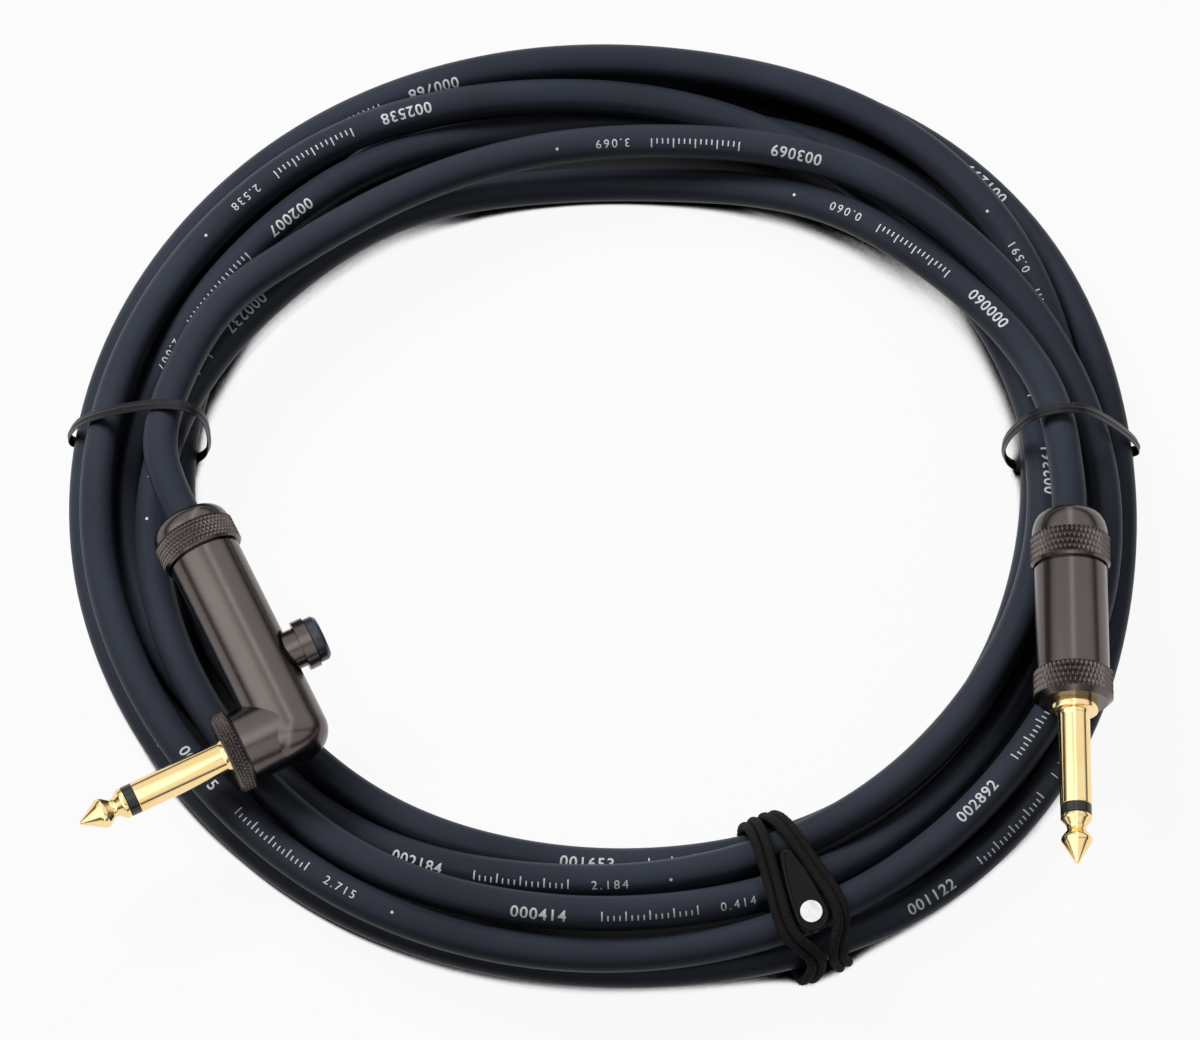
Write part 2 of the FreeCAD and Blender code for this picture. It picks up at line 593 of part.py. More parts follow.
def make_ties():
    ties = {
        "left_twist_tie": bundle_tie(LEFT_TWIST, LEFT_TWIST_DEG, TWIST_R),
        "right_twist_tie": bundle_tie(RIGHT_TWIST, RIGHT_TWIST_DEG, TWIST_R),
        "elastic_tie": Part.makeCompound([bundle_tie(ELASTIC, ELASTIC_DEG, ELASTIC_R, side) for side in (-1, 1)])}
    half = TAG_W / 2
    apex = TAG_APEX_W / 2
    middle = TAG_LEN * TAG_WIDEST
    side_x = middle * TAG_SIDE[0]
    side_y = half * TAG_SIDE[1]
    top = Part.Arc(V(0, -apex, 0), V(-apex, 0, 0), V(0, apex, 0)).toShape()
    right_side = Part.Arc(V(0, apex, 0), V(side_x, side_y, 0), V(middle, half, 0)).toShape()
    bottom = Part.Arc(V(middle, half, 0), V(TAG_LEN - apex, 0, 0), V(middle, -half, 0)).toShape()
    left_side = Part.Arc(V(middle, -half, 0), V(side_x, -side_y, 0), V(0, -apex, 0)).toShape()
    tag = Part.Face(Part.Wire([top, right_side, bottom, left_side])).extrude(V(0, 0, TAG_THICK))
    tag = tag.makeFillet(TAG_EDGE, tag.Edges)
    badge_place = V(middle, 0, TAG_THICK - BADGE_THICK / 2)
    badge = Part.makeCylinder(BADGE_R, BADGE_THICK, badge_place)
    tag = tag.cut(Part.makeCylinder(BADGE_R + FIT, BADGE_THICK, badge_place))
    for name, shape in (("tie_tag", tag), ("tie_badge", badge)):
        shape.translate(V(0, 0, -TAG_THICK / 2))
        shape.rotate(V(0, 0, 0), V(0, 1, 0), TAG_SLOPE_DEG)
        shape.translate(V(COIL_R + TAG_TOP[0], 0, TAG_TOP[1]))
        shape.rotate(V(0, 0, 0), V(0, 0, 1), ELASTIC_DEG)
        ties[name] = shape
    return ties


def main():
    os.makedirs("parts", exist_ok=True)
    parts = {"cable_coil": make_coil()}
    for name, shape in place_plug(straight_plug(), STRAIGHT_ENTRY, V(0, -1, 0), V(-1, 0, 0)).items():
        parts["straight_" + name] = shape
    body_way = unit(ANGLED_AXIS_DEG)
    finger_way = unit(ANGLED_AXIS_DEG - 90, -FINGER_DROP_DEG)
    for name, shape in place_plug(angled_plug(), ANGLED_ENTRY, body_way, finger_way).items():
        parts["angled_" + name] = shape
    parts.update(make_ties())
    centre = Part.makeCompound(list(parts.values())).optimalBoundingBox(False, False).Center
    print("centre of the box before the move: %.3f %.3f" % (centre.x, centre.y))
    for name, shape in parts.items():
        shape.translate(V(-centre.x, -centre.y, 0))
        if not shape.isValid() or not shape.Solids:
            print("not valid:", name)
        shape.exportStep("parts/%s.step" % name)
    print(len(parts), "nodes")


main()
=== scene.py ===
"""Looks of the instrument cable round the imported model: the coil, the two plugs, the ties and the stage.

Blender's metres. The coil lies on the floor z = 0 with +Z up, and the camera stands on the -Y side.
"""
import json
import math
from bisect import bisect_right

import bmesh
import bpy
from mathutils import Matrix, Vector


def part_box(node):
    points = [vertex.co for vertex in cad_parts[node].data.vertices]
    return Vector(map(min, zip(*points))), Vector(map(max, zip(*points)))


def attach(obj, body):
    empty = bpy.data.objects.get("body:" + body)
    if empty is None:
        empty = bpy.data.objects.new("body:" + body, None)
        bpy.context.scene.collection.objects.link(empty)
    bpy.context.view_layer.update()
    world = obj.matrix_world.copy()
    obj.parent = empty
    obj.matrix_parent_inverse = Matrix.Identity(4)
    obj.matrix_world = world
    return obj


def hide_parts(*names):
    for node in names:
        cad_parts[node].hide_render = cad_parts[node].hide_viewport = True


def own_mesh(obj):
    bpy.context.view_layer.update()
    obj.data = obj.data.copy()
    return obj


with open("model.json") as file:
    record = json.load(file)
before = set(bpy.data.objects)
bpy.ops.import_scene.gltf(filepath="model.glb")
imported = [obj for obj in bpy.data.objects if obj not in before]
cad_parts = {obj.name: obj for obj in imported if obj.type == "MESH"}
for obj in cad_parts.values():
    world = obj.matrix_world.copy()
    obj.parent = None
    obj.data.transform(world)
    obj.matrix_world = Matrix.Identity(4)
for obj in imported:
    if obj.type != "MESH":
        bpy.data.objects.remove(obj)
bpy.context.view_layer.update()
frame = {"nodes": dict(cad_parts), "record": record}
MM = 0.001

# The camera
CAMERA_ELEVATION = math.radians(67.0)
CAMERA_DISTANCE = 1.8
SENSOR_W = 36.0
PHOTO_W = 1200
PIXELS_PER_MM = 4.9
VIEW_FAR = 20.0
LOOK_AT_CHART = Vector((-0.82, -0.94, -0.40))

# The floor: its true tone, and where its shade begins and ends, as shares of open sky
FLOOR_SIDE = 6.0
FLOOR_TONE = (0.15, 0.15, 0.155)
FLOOR_GLOW = 0.85
SHADE_REACH = 0.025
SHADE_SAMPLES = 64
SHADE_BLACK = 0.40
SHADE_WHITE = 0.48
SHADE_GLOW = 1.1

# The cable
CABLE_D = 7.0
COIL_R = 93.0
REST_FLAT = 0.5
STATION_STEP = 45
SAMPLES_PER_ARC = 2
# Strands met at each station, in the order the cable passes: (distance beyond COIL_R, height)
LAY = {
    0: [(3.0, 3.5), (11.9, 3.5), (-4.9, 3.5), (-3.8, 10.9), (8.2, 10.9)],
    45: [(-12.6, 15.4), (8.8, 11.0), (13.4, 3.5), (3.0, 3.5), (-6.0, 11.0), (-4.6, 18.7)],
    90: [(-20.0, 3.6), (4.8, 11.0), (4.2, 3.5), (-6.2, 3.5), (-3.7, 11.4), (-16.5, 16.2)],
    135: [(-15.0, 11.0), (10.2, 5.8), (-2.9, 3.5), (-3.9, 12.3), (4.2, 13.6), (-14.8, 19.6)],
    180: [(-2.0, 11.2), (12.4, 3.5), (-6.4, 3.5), (4.7, 3.5), (9.8, 11.3)],
    225: [(0.1, 11.2), (9.1, 3.5), (-12.6, 3.5), (-4.8, 3.5), (8.0, 11.1)],
    270: [(0.7, 15.4), (8.3, 3.5), (-14.0, 3.5), (-8.0, 10.2), (8.0, 11.4)],
    315: [(0.2, 4.6), (14.8, 3.5), (-7.9, 3.5), (-6.4, 10.9), (8.2, 9.0)],
}
LIFT = {0: 2.5, 45: 0.0, 90: 0.0, 135: 0.4, 180: 2.3, 225: 0.6, 270: 3.8, 315: 3.8}
LAST_STATION = (160.0, -5.6, 22.6)
STRAIGHT_ENTRY = Vector((COIL_R + 0.6, -10.0, 24.0))
ANGLED_ENTRY = Vector((8.8 - COIL_R, -11.0, 24.0))
STRAIGHT_AXIS_DEG = -90.0
ANGLED_AXIS_DEG = -64.6
FINGER_DROP_DEG = 4.0
TAIL_RUN = 7.0
CABLE_IN_PLUG = 16.0

# The finger that both plugs share, from the back of its collar
SLEEVE_R = 3.175
SLEEVE_LEN = 19.1
COLLAR_R = 4.85
COLLAR_LEN = 2.0
NECK_R = 3.6
NECK_LEN = 0.8
SHANK_R = 4.8
SHANK_LEN = 4.5
INSULATOR_R = 2.0
ROD_R = 1.3
ROD_HIDDEN = 1.0
RING_LEN = 2.0
TIP_R = 3.15
TIP_NECK_R = 1.9
TIP_LEN = 10.2
SLEEVE_ROUND = 0.22
TIP_ROUND = 0.25
# The tip's outline: (distance from its back, radius)
TIP_LINE = [
    (0.0, TIP_R - 0.12), (0.8, TIP_R), (1.1, TIP_R - 0.1), (2.5, TIP_NECK_R), (3.3, TIP_NECK_R),
    (4.6, TIP_R - 0.2), (5.2, TIP_R), (5.9, TIP_R - 0.2), (TIP_LEN - 0.7, 0.7), (TIP_LEN, 0.25),
    (TIP_LEN, 0.0)]

# The plugs' bodies
ENTRY_HOLE_R = 3.85
HOLE_LIP = 0.5
DOME_STEPS = 12
DOME_ROUND = 0.85
BAND_RISE = 0.35
BAND_RUN = 0.25
MOUTH_CLEAR = 0.5
THREAD_R = 6.24
THREAD_LEN = 5.4
THREAD_CLEAR = 0.06
THREAD_END_GAP = 0.4
COLLET_R = 5.3
COLLET_CLEAR = 0.1
COLLET_DRAW = 1.2
COLLET_TAPER = 1.6
NUT_WALL = 1.7
NUT_GAP = 0.1
BARREL_R = 7.35
BARREL_BORE = 5.6
STRAIGHT_NUT_R = 8.0
STRAIGHT_NUT_LEN = 12.0
STRAIGHT_DOME = 5.2
BARREL_FACE = 41.0
BARREL_ROUND = 0.3
FRONT_RING_LEN = 6.2
FRONT_WALL = 3.0
FACE_RUN = 1.0
FACE_DROP = 1.1
SHANK_FIT = 0.02
RING_EDGE = 0.5
BODY_R = 7.4
ANGLED_NUT_R = 8.4
ANGLED_NUT_LEN = 9.6
ANGLED_DOME = 3.6
FINGER_X = 49.7
STUB_LEN = 10.0
FRONT_NUT_R = 8.3
FRONT_NUT_LEN = 3.8
RING_STEP = 1.2
COLLAR_CLEAR = 0.05
COLLAR_BACK = 11.6
BUTTON_X = 35.4
BUTTON_R = 4.7
BUTTON_REACH = 14.2
BUTTON_THICK = 2.9
BUTTON_SKIRT = 0.5
BUTTON_EDGE = 0.7
BUTTON_LIP = 0.6
DISH_RUN = 0.3
DISH_DEPTH = 0.35
DISH_FLAT = 0.4
BUTTON_ROUND = 0.25
STEM_R = 1.4
STEM_END = 3.6
BOSS_FLOOR = 7.6
SPRING_WIRE = 0.25
SPRING_R = 2.6
SPRING_TURNS = 3
SPRING_GAP = 0.05
SPRING_STEPS = 24
SPRING_SIDES = 10

# The ties: the corners of each one's line round the strands are (distance beyond COIL_R, height)
TWIST_LIFT = 0.75
TIE_MIDDLE = 12.0
LEFT_TWIST_DEG = 172.0
LEFT_TWIST = [
    (-9.0, TWIST_LIFT), (15.6, TWIST_LIFT), (18.0, 4.6), (13.6, 16.6), (-4.0, 29.8), (-11.2, 26.4),
    (-12.2, 14.0), (-11.2, 4.5), (-8.6, 1.7)]
RIGHT_TWIST_DEG = 7.0
RIGHT_TWIST = [
    (-8.8, TWIST_LIFT), (15.7, TWIST_LIFT), (17.7, 4.1), (11.4, 17.6), (3.8, 28.6), (-5.2, 28.8),
    (-11.4, 16.0), (-10.8, 4.6), (-8.4, 1.7)]
RIBBON_W = 2.3
RIBBON_THIN = 0.34
RIBBON_EDGE = 0.05
RIBBON_BEVEL = 0.12
RIBBON_WIRE = 0.9
# Where the wire's round leaves the band, and its shoulder, as shares of the wire's radius
WIRE_FOOT = 0.9
WIRE_SHOULDER = (0.5, 0.85)
# The elastic's corners also have their distance from the middle between its two bands
ELASTIC_LIFT = 1.5
ELASTIC_DEG = 293.6
ELASTIC = [
    (-1.0, ELASTIC_LIFT, 3.8), (14.6, ELASTIC_LIFT, 3.7), (17.7, 4.9, 4.2), (18.0, 11.6, 2.2),
    (16.8, 15.6, 2.2), (11.6, 19.4, 6.4), (0.4, 20.2, 4.4),
    (-10.6, 20.2, 2.6), (-17.2, 8.6, 2.0), (-16.0, ELASTIC_LIFT, 2.6)]
STRAND_R = 1.05
STRAND_OUT = 1.0
BRAID_DEPTH = 0.17
BRAID_TEETH = 7
BRAID_SLANT = 0.55
TAG_LEN = 17.5
TAG_W = 6.8
TAG_APEX_W = 3.0
TAG_THICK = 2.6
TAG_TOP = (-2.6, 21.4)
TAG_SLOPE_DEG = 12.0
BADGE_THICK = 0.4
# The widest place along the tag, and the waist before it, as shares
TAG_MIDDLE = 0.68
TAG_WAIST = (0.45, 0.78)
TAG_APEX_STEPS = 14
TAG_SIDE_STEPS = 18
TAG_FOOT_STEPS = 24
# The tag's layers from its back to its face: (distance in from its outline, height from its middle)
TAG_FACE = TAG_THICK / 2
TAG_LAYERS = [
    (0.6, -TAG_FACE), (0.15, 0.25 - TAG_FACE), (0.0, 0.6 - TAG_FACE), (0.0, TAG_FACE - 0.6),
    (0.12, TAG_FACE - 0.22), (0.35, TAG_FACE - 0.03), (0.55, TAG_FACE), (0.75, TAG_FACE - 0.06),
    (0.88, TAG_FACE - BADGE_THICK / 2)]

# The length marks printed on the jacket
MARK_STEP = 177.0
MARK_FIRST = 60.0
MARK_LIFT = 0.03
MARK_SWAY_DEG = 16.0
MARK_STRIP = 0.35
MARK_STRIPS = 5
FIGURE_FOOT = 0.35
BOLD_SIZE = 3.3
BOLD_OFFSET = 0.04
BOLD_SPACING = 1.12
TICKS_FROM = 17.5
TICKS = 17
TICKS_PER_TALL = 4
TICK_GAP = 1.15
TICK_W = 0.28
TICK_FOOT = -0.8
TALL_TICK = 1.9
SHORT_TICK = 1.1
SMALL_SIZE = 2.5
SMALL_SPACING = 1.35
SMALL_FROM = 40.5
DOT_AT = 56.0
DOT_R = 0.32
DOT_SIDES = 12

# Meshes
CABLE_SIDES = 28
CABLE_STEPS = 6
BAND_SIDES = 20
BAND_STEPS = 76
RIBBON_STEPS = 36
KNURL_DEPTH = 0.38
KNURL_STEEP = 1.6
KNURL_STEP = 0.14
# Each knurl's teeth round the ring and its slant, in teeth per millimetre along it
STRAIGHT_KNURL = (50, 0.40)
ANGLED_KNURL = (57, 0.66)
RING_KNURL = (59, 0.75)
GROOVE = 0.35
SOFT_STEPS = 3
SOFT_SHARE = 0.4
TINY = 1e-4
TURN_SEGMENTS = 400
SMOOTH_SEGMENTS = 128
SHARP_DEG = 35.0

# The chart is the drawing's own plan, and the row is centred on the outline. The straight sleeve
# has a place in both, which gives the step from one to the other
SLEEVE_LOW, SLEEVE_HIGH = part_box("straight_sleeve")
SLEEVE_FRONT = STRAIGHT_ENTRY.y - BARREL_FACE - COLLAR_LEN - SLEEVE_LEN - NECK_LEN
CHART_TO_ROW = Vector((
    (SLEEVE_LOW[0] + SLEEVE_HIGH[0]) / 2 / MM - STRAIGHT_ENTRY.x, SLEEVE_LOW[1] / MM - SLEEVE_FRONT, 0.0))
TO_CAMERA = Vector((0.0, -math.cos(CAMERA_ELEVATION), math.sin(CAMERA_ELEVATION)))


# Placing

def to_row(point):
    """A chart point in millimetres as a point of the row, in metres."""
    return (Vector(point) + CHART_TO_ROW) * MM


def heading(angle_deg, climb_deg=0.0):
    flat = math.cos(math.radians(climb_deg))
    angle = math.radians(angle_deg)
    return Vector((math.cos(angle) * flat, math.sin(angle) * flat, math.sin(math.radians(climb_deg))))


def plug_matrix(entry, along, across):
    """From a plug's own millimetres, X along its body, to the row's metres."""
    x_axis = along.normalized()
    z_axis = x_axis.cross(across).normalized()
    y_axis = z_axis.cross(x_axis)
    turn = Matrix((x_axis, y_axis, z_axis)).transposed().to_4x4()
    return Matrix.Translation(to_row(entry)) @ turn @ Matrix.Scale(MM, 4)


STRAIGHT = plug_matrix(STRAIGHT_ENTRY, heading(STRAIGHT_AXIS_DEG), Vector((-1.0, 0.0, 0.0)))
ANGLED = plug_matrix(
    ANGLED_ENTRY, heading(ANGLED_AXIS_DEG), heading(ANGLED_AXIS_DEG - 90, -FINGER_DROP_DEG))
FINGER_TURN = Matrix.Translation((FINGER_X, COLLAR_BACK, 0.0)) @ Matrix.Rotation(math.radians(90), 4, "Z")
BUTTON_TURN = Matrix.Translation((BUTTON_X, 0.0, 0.0)) @ Matrix.Rotation(math.radians(-90), 4, "Z")


# Materials

def new_material(name, colour, roughness, metallic=0.0):
    material = bpy.data.materials.new(name)
    material.use_nodes = True
    shader = material.node_tree.nodes["Principled BSDF"]
    shader.inputs["Base Color"].default_value = (*colour, 1.0)
    shader.inputs["Roughness"].default_value = roughness
    shader.inputs["Metallic"].default_value = metallic
    return material, shader


def add_node(material, kind, **values):
    node = material.node_tree.nodes.new(kind)
    for name, value in values.items():
        node.inputs[name.replace("_", " ")].default_value = value
    return node


def noise(material, scale, detail):
    """A noise texture on the object's own coordinates."""
    place = material.node_tree.nodes.new("ShaderNodeTexCoord")
    texture = add_node(material, "ShaderNodeTexNoise", Scale=scale, Detail=detail)
    material.node_tree.links.new(place.outputs["Object"], texture.inputs["Vector"])
    return texture.outputs["Fac"]


def ramp(material, source, low, high, dark, light):
    """A colour from dark, where the source is low, to light, where it is high."""
    node = material.node_tree.nodes.new("ShaderNodeValToRGB")
    node.color_ramp.elements[0].position = low
    node.color_ramp.elements[1].position = high
    node.color_ramp.elements[0].color = (*dark, 1.0)
    node.color_ramp.elements[1].color = (*light, 1.0)
    material.node_tree.links.new(source, node.inputs["Fac"])
    return node.outputs["Color"]


def vary_roughness(material, shader, source, low, high):
    node = add_node(material, "ShaderNodeMapRange", To_Min=low, To_Max=high)
    material.node_tree.links.new(source, node.inputs["Value"])
    material.node_tree.links.new(node.outputs["Result"], shader.inputs["Roughness"])


def add_bump(material, shader, source, strength, distance):
    node = add_node(material, "ShaderNodeBump", Strength=strength, Distance=distance)
    material.node_tree.links.new(source, node.inputs["Height"])
    material.node_tree.links.new(node.outputs["Normal"], shader.inputs["Normal"])


def jacket_material():
    material, shader = new_material("jacket", (0.020, 0.023, 0.032), 0.42)
    shader.inputs["Specular IOR Level"].default_value = 0.11
    shader.inputs["Specular Tint"].default_value = (0.78, 0.88, 1.0, 1.0)
    cloud = noise(material, scale=22.0, detail=4.0)
    dark = (0.0145, 0.017, 0.024)
    colour = ramp(material, cloud, low=0.35, high=0.7, dark=dark, light=(0.025, 0.029, 0.040))
    material.node_tree.links.new(colour, shader.inputs["Base Color"])
    vary_roughness(material, shader, noise(material, scale=90.0, detail=5.0), low=0.36, high=0.50)
    add_bump(material, shader, noise(material, scale=1500.0, detail=3.0), strength=0.10, distance=0.00012)
    return material


def gunmetal_material():
    material, shader = new_material("gunmetal", (0.130, 0.110, 0.103), 0.24, 1.0)
    cloud = noise(material, scale=60.0, detail=4.0)
    dark = (0.118, 0.099, 0.093)
    colour = ramp(material, cloud, low=0.3, high=0.75, dark=dark, light=(0.142, 0.121, 0.114))
    material.node_tree.links.new(colour, shader.inputs["Base Color"])
    vary_roughness(material, shader, noise(material, scale=900.0, detail=4.0), low=0.18, high=0.30)
    return material


def knurl_painted_shade_material():
    # The knurled ring's plating is set darker than the gunmetal as painted shade for the shadow among its
    # teeth; the noise below adds random mottling and a rougher gloss.
    material, shader = new_material("knurl", (0.098, 0.083, 0.077), 0.36, 1.0)
    worn = noise(material, scale=300.0, detail=4.0)
    dark = (0.074, 0.062, 0.057)
    colour = ramp(material, worn, low=0.35, high=0.75, dark=dark, light=(0.124, 0.106, 0.098))
    material.node_tree.links.new(colour, shader.inputs["Base Color"])
    vary_roughness(material, shader, noise(material, scale=900.0, detail=3.0), low=0.30, high=0.46)
    return material


def gold_material():
    material, shader = new_material("gold", (0.99, 0.74, 0.37), 0.14, 1.0)
    cloud = noise(material, scale=120.0, detail=4.0)
    dark = (0.97, 0.69, 0.31)
    colour = ramp(material, cloud, low=0.3, high=0.75, dark=dark, light=(1.0, 0.79, 0.43))
    material.node_tree.links.new(colour, shader.inputs["Base Color"])
    vary_roughness(material, shader, noise(material, scale=700.0, detail=4.0), low=0.10, high=0.19)
    return material


def plain_material(name, colour, roughness, metallic=0.0, grain=400.0, spread=0.05, bump=0.0, gloss=0.5):
    """A colour with fine variation of tone, gloss and, if asked, surface."""
    material, shader = new_material(name, colour, roughness, metallic)
    shader.inputs["Specular IOR Level"].default_value = gloss
    dark = tuple(part * 0.85 for part in colour)
    light = tuple(min(1.0, part * 1.15) for part in colour)
    tone = ramp(material, noise(material, scale=grain * 0.3, detail=3.0), 0.3, 0.7, dark, light)
    material.node_tree.links.new(tone, shader.inputs["Base Color"])
    gloss_grain = noise(material, scale=grain, detail=4.0)
    vary_roughness(material, shader, gloss_grain, roughness - spread, roughness + spread)
    if bump:
        add_bump(material, shader, noise(material, scale=grain * 3, detail=3.0), bump, distance=0.0001)
    return material


MATERIALS = {
    "jacket": jacket_material(),
    "gunmetal": gunmetal_material(),
    "knurl": knurl_painted_shade_material(),
    "gold": gold_material(),
    "insulator": plain_material("insulator", (0.012, 0.011, 0.011), 0.28),
    "grip": plain_material("grip", (0.05, 0.05, 0.05), 0.55, bump=0.2),
    "copper": plain_material("copper", (0.72, 0.36, 0.20), 0.3, 1.0),
    "spring_steel": plain_material("spring_steel", (0.6, 0.6, 0.6), 0.28, 1.0),
    "twist_plastic": plain_material("twist_plastic", (0.007, 0.007, 0.009), 0.34, bump=0.15, gloss=0.3),
    "elastic": plain_material("elastic", (0.009, 0.0075, 0.0075), 0.78, bump=0.5, grain=2500.0, gloss=0.12),
    "tag": plain_material("tag", (0.0045, 0.004, 0.005), 0.34, bump=0.15, gloss=0.13),
    "badge": plain_material("badge", (0.78, 0.78, 0.80), 0.32, 1.0, grain=1500.0),
    "button": plain_material("button", (0.018, 0.020, 0.030), 0.26),
    "print": plain_material("print", (0.44, 0.45, 0.46), 0.55),
}


# Pieces

def add_piece(name, mesh, body, slot, look=None, replaced=()):
    """A mesh in the row's metres that rides on a body and takes a slot's finish."""
    piece = bpy.data.objects.new(name, mesh)
    bpy.context.scene.collection.objects.link(piece)
    mesh.materials.clear()
    mesh.materials.append(MATERIALS[look or slot])
    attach(piece, body)
    if replaced:
        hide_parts(*replaced)
    return piece


def dress(node, look):
    """Give a CAD node its finish."""
    data = frame["nodes"][node].data
    data.materials.clear()
    data.materials.append(MATERIALS[look])


def finish_mesh(name, bm, matrix, sharp_deg=SHARP_DEG):
    bm.transform(matrix)
    bmesh.ops.recalc_face_normals(bm, faces=bm.faces)
    mesh = bpy.data.meshes.new(name)
    bm.to_mesh(mesh)
    bm.free()
    for polygon in mesh.polygons:
        polygon.use_smooth = True
    mesh.set_sharp_from_angle(angle=math.radians(sharp_deg))
    return mesh


def soften(profile, size):
    """Round each inner corner of an open (x, radius) profile."""
    out = [profile[0]]
    for before, corner, after in zip(profile, profile[1:], profile[2:]):
        here = Vector(corner)
        back = Vector(before) - here
        ahead = Vector(after) - here
        reach = min(size, back.length * SOFT_SHARE, ahead.length * SOFT_SHARE)
        if reach < TINY:
            out.append(corner)
            continue
        start = here + back.normalized() * reach
        end = here + ahead.normalized() * reach
        for step in range(SOFT_STEPS + 1):
            share = step / SOFT_STEPS
            one = start.lerp(here, share)
            two = here.lerp(end, share)
            out.append(tuple(one.lerp(two, share)))
    out.append(profile[-1])
    return out


def knurl_height(x, angle, teeth, slant):
    """0 in the grooves and 1 on the peaks of a diamond knurl."""
    def wave(value):
        return abs((value % 1.0) * 2 - 1)
    turn = angle / (2 * math.pi) * teeth
    return min(1.0, KNURL_STEEP * min(wave(turn + x * slant), wave(turn - x * slant)))


def revolve(name, profile, matrix, knurl_r=None, knurl=None):
    """A closed solid about X from a closed loop of (x, radius), knurled where it runs at knurl_r."""
    segments = TURN_SEGMENTS if knurl else SMOOTH_SEGMENTS
    rows = []
    for (x_one, r_one), (x_two, r_two) in zip(profile, profile[1:] + profile[:1]):
        rows.append((x_one, r_one, False))
        if knurl and abs(r_one - knurl_r) < TINY and abs(r_two - knurl_r) < TINY:
            steps = max(2, round(abs(x_two - x_one) / KNURL_STEP))
            for step in range(1, steps):
                rows.append((x_one + (x_two - x_one) * step / steps, r_one, True))
    bm = bmesh.new()
    rings = []
    for x, radius, knurled in rows:
        if radius < TINY:
            rings.append([bm.verts.new((x, 0.0, 0.0))] * segments)
            continue
        ring = []
        for count in range(segments):
            angle = 2 * math.pi * count / segments
            here = radius
            if knurled:
                here -= KNURL_DEPTH * (1 - knurl_height(x, angle, *knurl))
            ring.append(bm.verts.new((x, here * math.cos(angle), here * math.sin(angle))))
        rings.append(ring)
    for one, two in zip(rings, rings[1:] + rings[:1]):
        for count in range(segments):
            after = (count + 1) % segments
            corners = []
            for vert in (one[count], one[after], two[after], two[count]):
                if vert not in corners:
                    corners.append(vert)
            if len(corners) >= 3:
                bm.faces.new(corners)
    return finish_mesh(name, bm, matrix)


def make_finger(side, matrix):
    sleeve_end = COLLAR_LEN + SLEEVE_LEN + NECK_LEN
    ring_end = sleeve_end + RING_LEN
    sleeve = soften([
        (-SHANK_LEN, INSULATOR_R), (-SHANK_LEN, SHANK_R), (0, SHANK_R), (0, COLLAR_R),
        (COLLAR_LEN, COLLAR_R), (COLLAR_LEN, NECK_R), (COLLAR_LEN + NECK_LEN, SLEEVE_R),
        (sleeve_end, SLEEVE_R), (sleeve_end, INSULATOR_R)], SLEEVE_ROUND)
    add_piece(side + "_plug_sleeve", revolve(side + "_plug_sleeve", sleeve, matrix), "root", "gold",
              replaced=[side + "_sleeve"])
    rod_back = sleeve_end - ROD_HIDDEN
    tip = [(rod_back, 0.0), (rod_back, ROD_R)] + soften(
        [(ring_end, ROD_R)] + [(ring_end + along, radius) for along, radius in TIP_LINE], TIP_ROUND)
    add_piece(side + "_plug_tip", revolve(side + "_plug_tip", tip, matrix), "root", "gold",
              replaced=[side + "_tip"])


def nut_profile(outer, length, dome):
    """The cap's outer line from its back to its mouth, and the line inside it."""
    lip = ENTRY_HOLE_R + HOLE_LIP
    shoulder = outer - BAND_RISE
    arc = []
    for step in range(DOME_STEPS + 1):
        angle = math.radians(90 * step / DOME_STEPS)
        rise = lip + (shoulder - lip) * math.sin(angle) ** DOME_ROUND
        arc.append((dome * (1 - math.cos(angle)), rise))
    outside = [(0.0, ENTRY_HOLE_R)] + arc + [
        (dome + BAND_RUN, shoulder), (dome + 2 * BAND_RUN, outer), (length - RING_EDGE - GROOVE, outer),
        (length - GROOVE, outer - RING_EDGE)]
    mouth = THREAD_R + MOUTH_CLEAR
    bore = THREAD_R + THREAD_CLEAR
    seat = COLLET_R + COLLET_CLEAR
    thread_from = length - THREAD_LEN
    inside = [
        (length - GROOVE, mouth), (length, mouth), (length, bore), (thread_from, bore),
        (thread_from, seat), (NUT_WALL + COLLET_TAPER, seat), (NUT_WALL, COLLET_R - COLLET_DRAW),
        (NUT_WALL, ENTRY_HOLE_R)]
    return outside + inside


def make_straight_plug():
    nut = nut_profile(STRAIGHT_NUT_R, STRAIGHT_NUT_LEN, STRAIGHT_DOME)
    cap = revolve("straight_cap_shell", nut, STRAIGHT, STRAIGHT_NUT_R, STRAIGHT_KNURL)
    add_piece("straight_cap_shell", cap, "straight_cap", "gunmetal", replaced=["straight_rear_nut"])
    thread_back = STRAIGHT_NUT_LEN - THREAD_LEN + THREAD_END_GAP
    shoulder = STRAIGHT_NUT_LEN + NUT_GAP
    ring_back = BARREL_FACE - FRONT_RING_LEN - RING_EDGE
    shank_hole = SHANK_R + SHANK_FIT
    barrel = [(thread_back, BARREL_BORE), (thread_back, THREAD_R)]
    barrel += soften([(shoulder, THREAD_R), (shoulder, BARREL_R), (ring_back, BARREL_R)], BARREL_ROUND)
    barrel += [
        (ring_back + RING_EDGE, STRAIGHT_NUT_R), (BARREL_FACE - FACE_RUN, STRAIGHT_NUT_R),
        (BARREL_FACE, STRAIGHT_NUT_R - FACE_DROP), (BARREL_FACE, shank_hole),
        (BARREL_FACE - FRONT_WALL, shank_hole), (BARREL_FACE - FRONT_WALL, BARREL_BORE)]
    shell = revolve("straight_barrel_shell", barrel, STRAIGHT, STRAIGHT_NUT_R, STRAIGHT_KNURL)
    add_piece("straight_barrel_shell", shell, "root", "gunmetal", replaced=["straight_barrel"])
    make_finger("straight", STRAIGHT @ Matrix.Translation((BARREL_FACE, 0.0, 0.0)))


